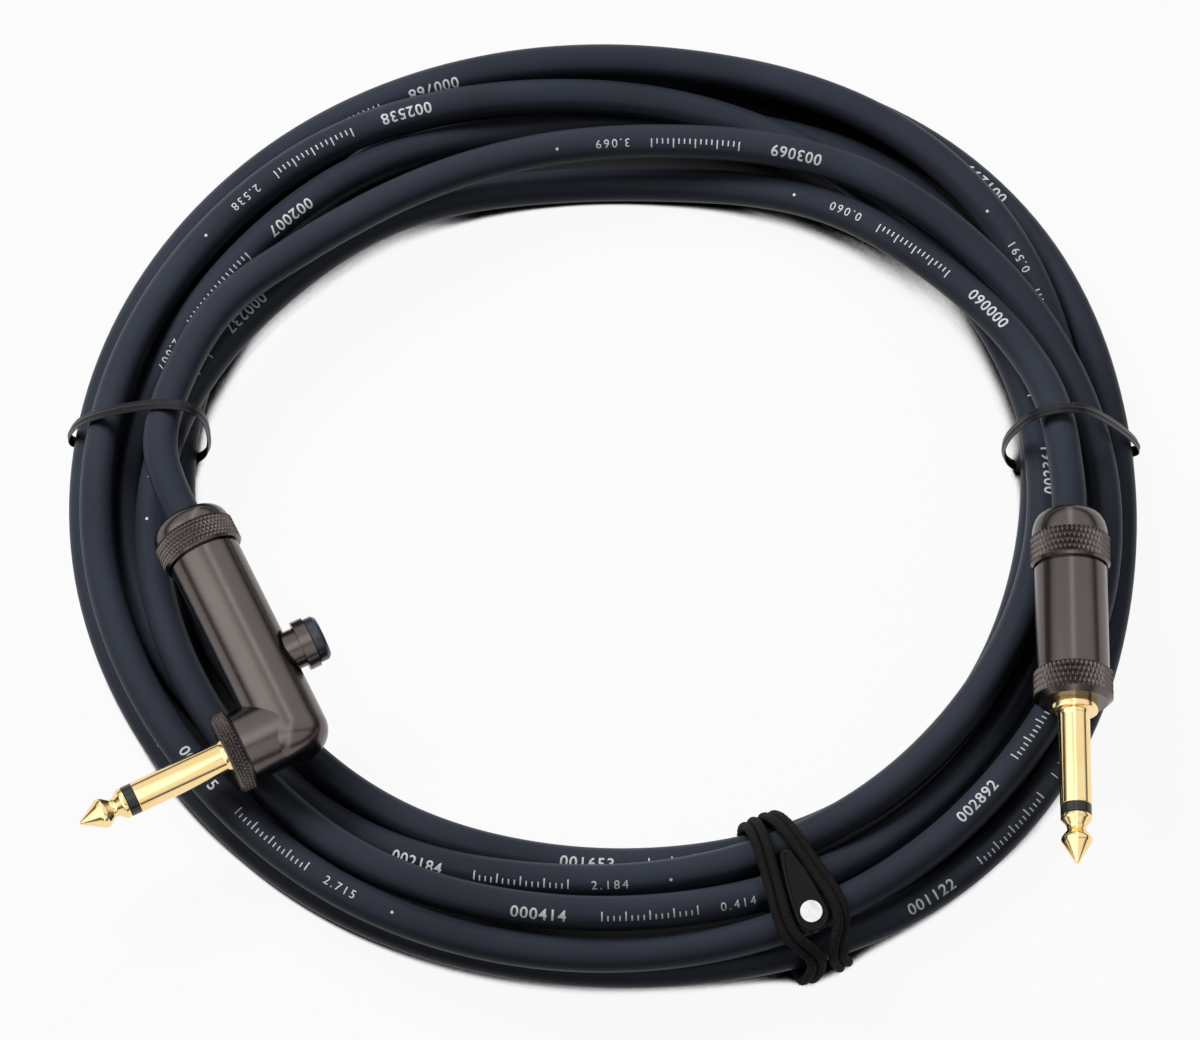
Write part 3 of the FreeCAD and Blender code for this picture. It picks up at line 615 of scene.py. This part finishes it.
def make_angled_plug():
    nut = nut_profile(ANGLED_NUT_R, ANGLED_NUT_LEN, ANGLED_DOME)
    cap = revolve("angled_cap_shell", nut, ANGLED, ANGLED_NUT_R, ANGLED_KNURL)
    add_piece("angled_cap_shell", cap, "angled_cap", "gunmetal", replaced=["angled_rear_nut"])
    back = STUB_LEN - COLLAR_BACK
    step = back + GROOVE
    front = back + FRONT_NUT_LEN
    hole = COLLAR_R + COLLAR_CLEAR
    ring = [
        (back, hole), (back, BODY_R - RING_STEP), (step, BODY_R - RING_STEP),
        (step, FRONT_NUT_R - RING_EDGE), (step + RING_EDGE, FRONT_NUT_R),
        (front - RING_EDGE, FRONT_NUT_R), (front, FRONT_NUT_R - RING_EDGE), (front, hole)]
    shell = revolve("angled_ring_shell", ring, ANGLED @ FINGER_TURN, FRONT_NUT_R, RING_KNURL)
    add_piece("angled_ring_shell", shell, "root", "gunmetal", "knurl", replaced=["angled_front_nut"])
    make_finger("angled", ANGLED @ FINGER_TURN)


def make_button():
    """The push cap on its stem, with a shallow dish in its face."""
    face = BUTTON_REACH
    under = face - BUTTON_THICK
    dish = face - DISH_DEPTH
    rim = BUTTON_R - BUTTON_EDGE
    button = [(STEM_END, 0.0)] + soften([
        (STEM_END, STEM_R), (under, STEM_R), (under, BUTTON_R - BUTTON_SKIRT),
        (under + BUTTON_SKIRT, BUTTON_R), (face - BUTTON_EDGE, BUTTON_R), (face, rim),
        (face, rim - BUTTON_LIP), (dish, rim - BUTTON_LIP - DISH_RUN), (dish, DISH_FLAT)], BUTTON_ROUND)
    button.append((dish, 0.0))
    cap = revolve("button_cap", button, ANGLED @ BUTTON_TURN)
    add_piece("button_cap", cap, "button", "gunmetal", "button", replaced=["angled_button"])


# The cable's route, worked out as the coil is laid


def station_list():
    """(angle, distance, height) of every station, from the first after the straight plug to the last."""
    passed = {angle: 0 for angle in LAY}
    out = []
    angle = STATION_STEP
    while passed[angle % 360] < len(LAY[angle % 360]):
        turn_angle = angle % 360
        distance, height = LAY[turn_angle][passed[turn_angle]]
        out.append((float(angle), COIL_R + distance, height - REST_FLAT + LIFT[turn_angle]))
        passed[turn_angle] += 1
        angle += STATION_STEP
    last_turn = out[-1][0] - out[-1][0] % 360
    out.append((last_turn + LAST_STATION[0], COIL_R + LAST_STATION[1], LAST_STATION[2]))
    return out


def route_stations():
    """Points and directions of the coil, from one plug's tail to the other's."""
    forward = heading(STRAIGHT_AXIS_DEG + 180)
    away = heading(ANGLED_AXIS_DEG)
    first = STRAIGHT_ENTRY + forward * TAIL_RUN
    last = ANGLED_ENTRY - away * TAIL_RUN
    laid = station_list()
    whole_turns = laid[-1][0] - laid[-1][0] % 360
    first_polar = (math.degrees(math.atan2(first.y, first.x)), math.hypot(first.x, first.y), first.z)
    last_angle = math.degrees(math.atan2(last.y, last.x)) % 360 + whole_turns
    polar = [first_polar] + laid + [(last_angle, math.hypot(last.x, last.y), last.z)]
    out = [(first, forward)]
    for before, here, after in zip(polar, polar[1:], polar[2:]):
        run_in = math.radians(here[0] - before[0]) * (here[1] + before[1]) / 2
        run_out = math.radians(after[0] - here[0]) * (here[1] + after[1]) / 2
        drift_in = (here[1] - before[1]) / run_in
        drift_out = (after[1] - here[1]) / run_out
        drift = (drift_in * run_out + drift_out * run_in) / (run_in + run_out)
        rise_in = (here[2] - before[2]) / run_in
        rise_out = (after[2] - here[2]) / run_out
        rise = 0.0
        if rise_in * rise_out > 0:
            rise = 2 * rise_in * rise_out / (rise_in + rise_out)
        angle = math.radians(here[0])
        point = Vector((here[1] * math.cos(angle), here[1] * math.sin(angle), here[2]))
        inward = math.degrees(math.atan(drift))
        out.append((point, heading(here[0] + 90 - inward, math.degrees(math.atan(rise)))))
    out.append((last, away))
    return out


def arc_points(start, direction, end):
    """Points of the arc that leaves start along direction and ends at end, without its end."""
    along = (end - start).normalized()
    turn = math.acos(max(-1.0, min(1.0, along.dot(direction))))
    radius = (end - start).length / (2 * math.sin(turn))
    side = (along - direction * along.dot(direction)).normalized()
    out = []
    for step in range(SAMPLES_PER_ARC):
        angle = 2 * turn * step / SAMPLES_PER_ARC
        rise = radius * (1 - math.cos(angle))
        out.append(start + direction * (radius * math.sin(angle)) + side * rise)
    return out


def biarc_points(start, leaving, end, arriving):
    """Points of the two arcs from start to end that keep both directions."""
    chord = end - start
    square = 2 * (1 - leaving.dot(arriving))
    linear = 2 * chord.dot(leaving + arriving)
    reach = (math.sqrt(linear * linear + 4 * square * chord.dot(chord)) - linear) / (2 * square)
    near = start + leaving * reach
    far = end - arriving * reach
    joint = (near + far) * 0.5
    return arc_points(start, leaving, joint) + arc_points(joint, (far - near).normalized(), end)


def coil_points():
    """The control points of the whole cable, moved out so that its smooth line passes where it lies."""
    stations = route_stations()
    points = [STRAIGHT_ENTRY - heading(STRAIGHT_AXIS_DEG + 180) * CABLE_IN_PLUG, STRAIGHT_ENTRY.copy()]
    for (one, leaving), (two, arriving) in zip(stations, stations[1:]):
        points += biarc_points(one, leaving, two, arriving)
    inside = ANGLED_ENTRY + heading(ANGLED_AXIS_DEG) * CABLE_IN_PLUG
    points += [stations[-1][0], ANGLED_ENTRY.copy(), inside]
    moved = points[:3]
    for before, here, after in zip(points[2:-4], points[3:-3], points[4:-2]):
        moved.append(here - (before + after - here * 2) / 8)
    moved += points[-3:]
    return [to_row(point) for point in moved]


def spline_points(name, points, resolution, closed=False):
    """Points along the smooth line that has the given control points."""
    curve = bpy.data.curves.new(name, "CURVE")
    curve.dimensions = "3D"
    spline = curve.splines.new("NURBS")
    spline.points.add(len(points) - 1)
    for target, point in zip(spline.points, points):
        target.co = (*point, 1.0)
    spline.order_u = 3
    if closed:
        spline.use_cyclic_u = True
    else:
        spline.use_endpoint_u = True
    spline.resolution_u = resolution
    holder = bpy.data.objects.new(name, curve)
    mesh = bpy.data.meshes.new_from_object(holder)
    out = [vert.co.copy() for vert in mesh.vertices]
    bpy.data.objects.remove(holder)
    bpy.data.meshes.remove(mesh)
    return out


def line_frames(points, facing, closed=False):
    """(point, along, out, side, run) at each point: out is the facing direction squared to the line."""
    count = len(points)
    frames = []
    run = 0.0
    for index, point in enumerate(points):
        before = points[index - 1] if closed or index else point
        after = points[(index + 1) % count] if closed or index < count - 1 else point
        along = (after - before).normalized()
        out = facing(point)
        out = (out - along * out.dot(along)).normalized()
        if index:
            run += (point - points[index - 1]).length
        frames.append((point, along, out, out.cross(along), run))
    return frames


def sweep(name, frames, section, closed=False, sharp_deg=SHARP_DEG):
    """A solid that carries an outline, (side, out) offsets in millimetres at each run, along the line."""
    bm = bmesh.new()
    rings = []
    for point, along, out, side, run in frames:
        ring = []
        for across, up in section(run / MM):
            place = point + side * (across * MM) + out * (up * MM)
            place.z = max(0.0, place.z)
            ring.append(bm.verts.new(place))
        rings.append(ring)
    pairs = list(zip(rings, rings[1:]))
    if closed:
        pairs.append((rings[-1], rings[0]))
    for one, two in pairs:
        for count in range(len(one)):
            after = (count + 1) % len(one)
            bm.faces.new((one[count], one[after], two[after], two[count]))
    if not closed:
        bm.faces.new(rings[0])
        bm.faces.new(rings[-1])
    return finish_mesh(name, bm, Matrix.Identity(4), sharp_deg)


def circle(radius, sides):
    steps = [2 * math.pi * count / sides for count in range(sides)]
    return [(radius * math.cos(angle), radius * math.sin(angle)) for angle in steps]


def make_cable():
    """The whole cord from plug to plug, and the frames along its line."""
    line = spline_points("cable_line", coil_points(), CABLE_STEPS)
    frames = line_frames(line, lambda point: TO_CAMERA)
    outline = circle(CABLE_D / 2, CABLE_SIDES)
    cable = add_piece("cable", sweep("cable", frames, lambda run: outline), "root", "jacket",
                      replaced=["cable_coil"])
    return frames


def make_button_spring():
    """The open coils under the button."""
    place = ANGLED @ BUTTON_TURN
    room = BUTTON_REACH - BUTTON_THICK - BOSS_FLOOR
    first = BOSS_FLOOR + SPRING_WIRE + SPRING_GAP
    rise = room - 2 * (SPRING_WIRE + SPRING_GAP)
    line = []
    for step in range(SPRING_TURNS * SPRING_STEPS + 1):
        angle = 2 * math.pi * step / SPRING_STEPS
        along = first + rise * step / (SPRING_TURNS * SPRING_STEPS)
        across = Vector((0.0, math.cos(angle), math.sin(angle))) * SPRING_R
        line.append(place @ (Vector((along, 0.0, 0.0)) + across))
    floor = place @ Vector((BOSS_FLOOR, 0.0, 0.0))
    axis = (place @ Vector((BUTTON_REACH, 0.0, 0.0)) - floor).normalized()
    outline = circle(SPRING_WIRE, SPRING_SIDES)
    coils = sweep("button_spring_coils", line_frames(line, lambda point: axis), lambda run: outline)
    spring = add_piece("button_spring_coils", coils, "root", "spring_steel",
                       replaced=["angled_button_spring"])
    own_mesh(spring)


# The marks on the jacket

def flat_text(words, size, offset, spacing):
    """(x, y) faces of some figures, with their foot's left end at the origin."""
    curve = bpy.data.curves.new("figures", "FONT")
    curve.body = words
    curve.size = size
    curve.offset = offset
    curve.space_character = spacing
    holder = bpy.data.objects.new("figures", curve)
    mesh = bpy.data.meshes.new_from_object(holder)
    corners = [tuple(vert.co[:2]) for vert in mesh.vertices]
    faces = [[corners[index] for index in polygon.vertices] for polygon in mesh.polygons]
    bpy.data.objects.remove(holder)
    bpy.data.meshes.remove(mesh)
    return faces


def box_face(x, y, width, height):
    return [(x, y), (x + width, y), (x + width, y + height), (x, y + height)]


def mark_faces(distance):
    """The mark at that distance: it in millimetres, a ruler's ticks, the same in metres, and a dot."""
    faces = []
    for corners in flat_text("%06d" % round(distance), BOLD_SIZE, BOLD_OFFSET, BOLD_SPACING):
        faces.append([(x, y - BOLD_SIZE * FIGURE_FOOT) for x, y in corners])
    for count in range(TICKS):
        height = SHORT_TICK if count % TICKS_PER_TALL else TALL_TICK
        faces.append(box_face(TICKS_FROM + TICK_GAP * count, TICK_FOOT, TICK_W, height))
    for corners in flat_text("%.3f" % (distance * MM), SMALL_SIZE, 0.0, SMALL_SPACING):
        faces.append([(x + SMALL_FROM, y - SMALL_SIZE * FIGURE_FOOT) for x, y in corners])
    faces.append([(DOT_AT + x, y) for x, y in circle(DOT_R, DOT_SIDES)])
    return faces


def make_print(frames):
    """The marks along the whole cable, wrapped on its jacket a hair above it."""
    runs = [frame_row[4] / MM for frame_row in frames]
    bm = bmesh.new()
    radius = CABLE_D / 2 + MARK_LIFT
    distance = MARK_FIRST
    while distance + DOT_AT < runs[-1]:
        mark = bmesh.new()
        for corners in mark_faces(distance):
            mark.faces.new([mark.verts.new((x, y, 0.0)) for x, y in corners])
        for step in range(-MARK_STRIPS, MARK_STRIPS + 1):
            whole = mark.verts[:] + mark.edges[:] + mark.faces[:]
            cut = (0, step * MARK_STRIP, 0)
            bmesh.ops.bisect_plane(mark, geom=whole, plane_co=cut, plane_no=(0, 1, 0))
        sway = math.radians(MARK_SWAY_DEG) * math.sin(distance)
        moved = {}
        for vert in mark.verts:
            run = distance + vert.co.x
            index = min(bisect_right(runs, run), len(runs) - 1)
            share = (run - runs[index - 1]) / (runs[index] - runs[index - 1])
            before = frames[index - 1]
            after = frames[index]
            point, out, side = (before[part].lerp(after[part], share) for part in (0, 2, 3))
            angle = vert.co.y / radius + sway
            place = point + (out * math.cos(angle) + side * math.sin(angle)) * (radius * MM)
            moved[vert] = bm.verts.new(place)
        for face in mark.faces:
            bm.faces.new([moved[vert] for vert in face.verts])
        mark.free()
        distance += MARK_STEP
    mesh = bpy.data.meshes.new("jacket_print")
    bm.to_mesh(mesh)
    bm.free()
    add_piece("jacket_print", mesh, "root", "badge", "print")


# The ties

def tie_point(angle_deg, distance, height, side=0.0):
    """A point of a tie in the row, by its distance beyond COIL_R, its height and its side."""
    turn = Matrix.Rotation(math.radians(angle_deg), 4, "Z")
    return to_row(turn @ Vector((COIL_R + distance, side, height)))


def ribbon_outline(run):
    """The thin band with a wire in its middle."""
    edge = RIBBON_W / 2
    half = RIBBON_THIN / 2
    wire = RIBBON_WIRE / 2
    bend = wire * WIRE_SHOULDER[0]
    rise = wire * WIRE_SHOULDER[1]
    left = [(-edge, RIBBON_EDGE), (-edge + RIBBON_BEVEL, half), (-wire * WIRE_FOOT, half), (-bend, rise)]
    top = left + [(0.0, wire)] + [(-across, up) for across, up in reversed(left)]
    return top + [(-across, -up) for across, up in top]


def make_twist_tie(name, angle_deg, corners):
    """A flat tie round the strands, open where its ends meet under them."""
    line = spline_points(name, [tie_point(angle_deg, *corner) for corner in corners], RIBBON_STEPS)
    middle = tie_point(angle_deg, 0.0, TIE_MIDDLE)
    frames = line_frames(line, lambda point: point - middle)
    add_piece(name + "_band", sweep(name + "_band", frames, ribbon_outline), "root", "twist_plastic",
              replaced=[name])


def braided(shift):
    """The outline of one braided strand of the elastic, that far to the side."""
    def outline(run):
        out = []
        for count in range(BAND_SIDES):
            angle = 2 * math.pi * count / BAND_SIDES
            low = 1 - knurl_height(run, angle, BRAID_TEETH, BRAID_SLANT)
            radius = STRAND_R - BRAID_DEPTH * low
            out.append((shift + radius * math.cos(angle), radius * math.sin(angle)))
        return out
    return outline


def make_elastic():
    """The two bands round the coil, each of two braided strands side by side."""
    middle = tie_point(ELASTIC_DEG, 0.0, TIE_MIDDLE)
    for label, side in (("left", -1), ("right", 1)):
        corners = [tie_point(ELASTIC_DEG, corner[0], corner[1], side * corner[2]) for corner in ELASTIC]
        line = spline_points(label + "_elastic", corners, BAND_STEPS, closed=True)
        frames = line_frames(line, lambda point: point - middle, closed=True)
        for place, shift in (("outer", STRAND_OUT), ("inner", -STRAND_OUT)):
            name = "_".join((label, place, "elastic"))
            add_piece(name, sweep(name, frames, braided(shift), True, 180.0), "root", "elastic",
                      replaced=["elastic_tie"])


def arc_through(one, two, three, steps):
    """Points of the arc through three points, without its end."""
    ax, ay = one
    bx, by = two
    cx, cy = three
    double = 2 * (ax * (by - cy) + bx * (cy - ay) + cx * (ay - by))
    a_square = ax * ax + ay * ay
    b_square = bx * bx + by * by
    c_square = cx * cx + cy * cy
    ux = (a_square * (by - cy) + b_square * (cy - ay) + c_square * (ay - by)) / double
    uy = (a_square * (cx - bx) + b_square * (ax - cx) + c_square * (bx - ax)) / double
    radius = math.hypot(ax - ux, ay - uy)
    first = math.atan2(ay - uy, ax - ux)
    through = (math.atan2(by - uy, bx - ux) - first) % (2 * math.pi)
    whole = (math.atan2(cy - uy, cx - ux) - first) % (2 * math.pi)
    if through > whole:
        whole -= 2 * math.pi
    angles = [first + whole * step / steps for step in range(steps)]
    return [(ux + radius * math.cos(angle), uy + radius * math.sin(angle)) for angle in angles]


def make_tag():
    """The rubber drop between the bands, with a raised rim round its face."""
    half = TAG_W / 2
    apex = TAG_APEX_W / 2
    middle = TAG_LEN * TAG_MIDDLE
    waist = (middle * TAG_WAIST[0], half * TAG_WAIST[1])
    outline = arc_through((0, -apex), (-apex, 0), (0, apex), TAG_APEX_STEPS)
    outline += arc_through((0, apex), waist, (middle, half), TAG_SIDE_STEPS)
    outline += arc_through((middle, half), (TAG_LEN - apex, 0), (middle, -half), TAG_FOOT_STEPS)
    outline += arc_through((middle, -half), (waist[0], -waist[1]), (0, -apex), TAG_SIDE_STEPS)
    bm = bmesh.new()
    rings = []
    for inset, height in TAG_LAYERS:
        ring = []
        for index, (x, y) in enumerate(outline):
            after = outline[(index + 1) % len(outline)]
            before = outline[index - 1]
            along = Vector((after[0] - before[0], after[1] - before[1])).normalized()
            ring.append(bm.verts.new((x + along.y * inset, y - along.x * inset, height)))
        rings.append(ring)
    for one, two in zip(rings, rings[1:]):
        for count in range(len(outline)):
            after = (count + 1) % len(outline)
            bm.faces.new((one[count], one[after], two[after], two[count]))
    bm.faces.new(rings[0])
    bm.faces.new(rings[-1])
    place = Matrix.Translation(to_row((0.0, 0.0, 0.0)))
    place = place @ Matrix.Rotation(math.radians(ELASTIC_DEG), 4, "Z") @ Matrix.Scale(MM, 4)
    place = place @ Matrix.Translation((COIL_R + TAG_TOP[0], 0.0, TAG_TOP[1]))
    place = place @ Matrix.Rotation(math.radians(TAG_SLOPE_DEG), 4, "Y")
    add_piece("tag_drop", finish_mesh("tag_drop", bm, place), "root", "tag", replaced=["tie_tag"])


# The stage

def make_camera():
    scene = bpy.context.scene
    camera_data = bpy.data.cameras.new("camera")
    camera_data.sensor_width = SENSOR_W
    camera_data.lens = SENSOR_W * CAMERA_DISTANCE / (PHOTO_W / PIXELS_PER_MM * MM)
    camera_data.clip_end = VIEW_FAR
    camera = bpy.data.objects.new("camera", camera_data)
    scene.collection.objects.link(camera)
    camera.location = to_row(LOOK_AT_CHART) + TO_CAMERA * CAMERA_DISTANCE
    camera.rotation_euler = (math.pi / 2 - CAMERA_ELEVATION, 0.0, 0.0)
    scene.camera = camera


def floor_material():
    """White to the eye and in reflections, black where the object covers it, and grey to the light."""
    material = bpy.data.materials.new("floor")
    material.use_nodes = True
    nodes = material.node_tree.nodes
    links = material.node_tree.links
    nodes.clear()
    diffuse = nodes.new("ShaderNodeBsdfDiffuse")
    diffuse.inputs["Color"].default_value = (*FLOOR_TONE, 1.0)
    glow = nodes.new("ShaderNodeEmission")
    open_sky = nodes.new("ShaderNodeAmbientOcclusion")
    open_sky.inputs["Distance"].default_value = SHADE_REACH
    open_sky.samples = SHADE_SAMPLES
    shade = nodes.new("ShaderNodeMapRange")
    shade.interpolation_type = "SMOOTHSTEP"
    shade.inputs["From Min"].default_value = SHADE_BLACK
    shade.inputs["From Max"].default_value = SHADE_WHITE
    shade.inputs["To Max"].default_value = SHADE_GLOW
    links.new(open_sky.outputs["AO"], shade.inputs["Value"])
    links.new(shade.outputs["Result"], glow.inputs["Strength"])
    path = nodes.new("ShaderNodeLightPath")
    seen = nodes.new("ShaderNodeMath")
    seen.operation = "MAXIMUM"
    share = nodes.new("ShaderNodeMath")
    share.operation = "MULTIPLY"
    share.inputs[1].default_value = FLOOR_GLOW
    mix = nodes.new("ShaderNodeMixShader")
    out = nodes.new("ShaderNodeOutputMaterial")
    links.new(path.outputs["Is Camera Ray"], seen.inputs[0])
    links.new(path.outputs["Is Glossy Ray"], seen.inputs[1])
    links.new(seen.outputs[0], share.inputs[0])
    links.new(share.outputs[0], mix.inputs[0])
    links.new(diffuse.outputs[0], mix.inputs[1])
    links.new(glow.outputs[0], mix.inputs[2])
    links.new(mix.outputs[0], out.inputs[0])
    return material


def make_floor():
    mesh = bpy.data.meshes.new("floor")
    side = FLOOR_SIDE
    corners = [(-side, -side, 0), (side, -side, 0), (side, side, 0), (-side, side, 0)]
    mesh.from_pydata(corners, [], [(0, 1, 2, 3)])
    mesh.materials.append(floor_material())
    floor = bpy.data.objects.new("floor", mesh)
    bpy.context.scene.collection.objects.link(floor)


def make_world():
    """Even light for surfaces, white behind the object, and softboxes with dark seams for reflections."""
    world = bpy.data.worlds.new("world")
    bpy.context.scene.world = world
    world.use_nodes = True
    nodes = world.node_tree.nodes
    links = world.node_tree.links
    place = nodes.new("ShaderNodeTexCoord")

    def band(direction, low, high, at_low, at_high, mirrored=True):
        """A smooth step of the direction's share of each ray."""
        dot = nodes.new("ShaderNodeVectorMath")
        dot.operation = "DOT_PRODUCT"
        dot.inputs[1].default_value = Vector(direction).normalized()
        links.new(place.outputs["Generated"], dot.inputs[0])
        value = dot.outputs["Value"]
        if mirrored:
            size = nodes.new("ShaderNodeMath")
            size.operation = "ABSOLUTE"
            links.new(value, size.inputs[0])
            value = size.outputs[0]
        step = nodes.new("ShaderNodeMapRange")
        step.interpolation_type = "SMOOTHSTEP"
        limits = {"From Min": low, "From Max": high, "To Min": at_low, "To Max": at_high}
        for name, number in limits.items():
            step.inputs[name].default_value = number
        links.new(value, step.inputs["Value"])
        return step.outputs["Result"]

    def combine(operation, one, two):
        node = nodes.new("ShaderNodeMath")
        node.operation = operation
        links.new(one, node.inputs[0])
        links.new(two, node.inputs[1])
        return node.outputs[0]

    across_view = (0.0, math.sin(CAMERA_ELEVATION), math.cos(CAMERA_ELEVATION))
    sky = band((0.0, 0.0, 1.0), low=0.12, high=0.45, at_low=0.06, at_high=1.2, mirrored=False)
    seam = band(across_view, low=0.03, high=0.12, at_low=0.25, at_high=1.0)
    strip = band((1.0, 0.0, 0.0), low=0.04, high=0.12, at_low=1.5, at_high=0.0)
    left_box = band((-0.62, -0.30, 0.72), low=0.74, high=0.86, at_low=0.0, at_high=1.0, mirrored=False)
    above = band((0.0, 0.3, 0.95), low=0.1, high=0.95, at_low=0.01, at_high=0.12, mirrored=False)
    level = combine("ADD", combine("MULTIPLY", sky, seam), combine("ADD", strip, left_box))
    soft = nodes["Background"]
    soft.inputs["Color"].default_value = (1.0, 1.0, 1.0, 1.0)
    links.new(above, soft.inputs["Strength"])
    boxes = nodes.new("ShaderNodeBackground")
    links.new(level, boxes.inputs["Strength"])
    white = nodes.new("ShaderNodeBackground")
    white.inputs["Color"].default_value = (1.0, 1.0, 1.0, 1.0)
    path = nodes.new("ShaderNodeLightPath")
    shiny = nodes.new("ShaderNodeMixShader")
    whole = nodes.new("ShaderNodeMixShader")
    links.new(path.outputs["Is Glossy Ray"], shiny.inputs[0])
    links.new(soft.outputs[0], shiny.inputs[1])
    links.new(boxes.outputs[0], shiny.inputs[2])
    links.new(path.outputs["Is Camera Ray"], whole.inputs[0])
    links.new(shiny.outputs[0], whole.inputs[1])
    links.new(white.outputs[0], whole.inputs[2])
    links.new(whole.outputs[0], nodes["World Output"].inputs[0])


def add_lamp(name, place, width, height, power):
    lamp = bpy.data.lights.new(name, "AREA")
    lamp.shape = "RECTANGLE"
    lamp.size = width
    lamp.size_y = height
    lamp.energy = power
    holder = bpy.data.objects.new(name, lamp)
    bpy.context.scene.collection.objects.link(holder)
    holder.location = place
    holder.visible_glossy = False
    holder.rotation_euler = (-Vector(place)).to_track_quat("-Z", "Y").to_euler()


for node_name in frame["nodes"]:
    for row in frame["record"]["subparts"]:
        if row["node"] == node_name:
            dress(node_name, row["material_slot"])
make_camera()
make_floor()
make_world()
add_lamp("key", place=(-0.48, 0.50, 0.80), width=0.6, height=0.35, power=18.0)
add_lamp("fill", place=(0.75, -0.1, 0.75), width=0.5, height=0.4, power=2.4)
bpy.context.scene.view_settings.view_transform = "Standard"
make_straight_plug()
make_angled_plug()
make_button()
make_button_spring()
cable_frames = make_cable()
make_print(cable_frames)
make_twist_tie("left_twist_tie", LEFT_TWIST_DEG, LEFT_TWIST)
make_twist_tie("right_twist_tie", RIGHT_TWIST_DEG, RIGHT_TWIST)
make_elastic()
make_tag()
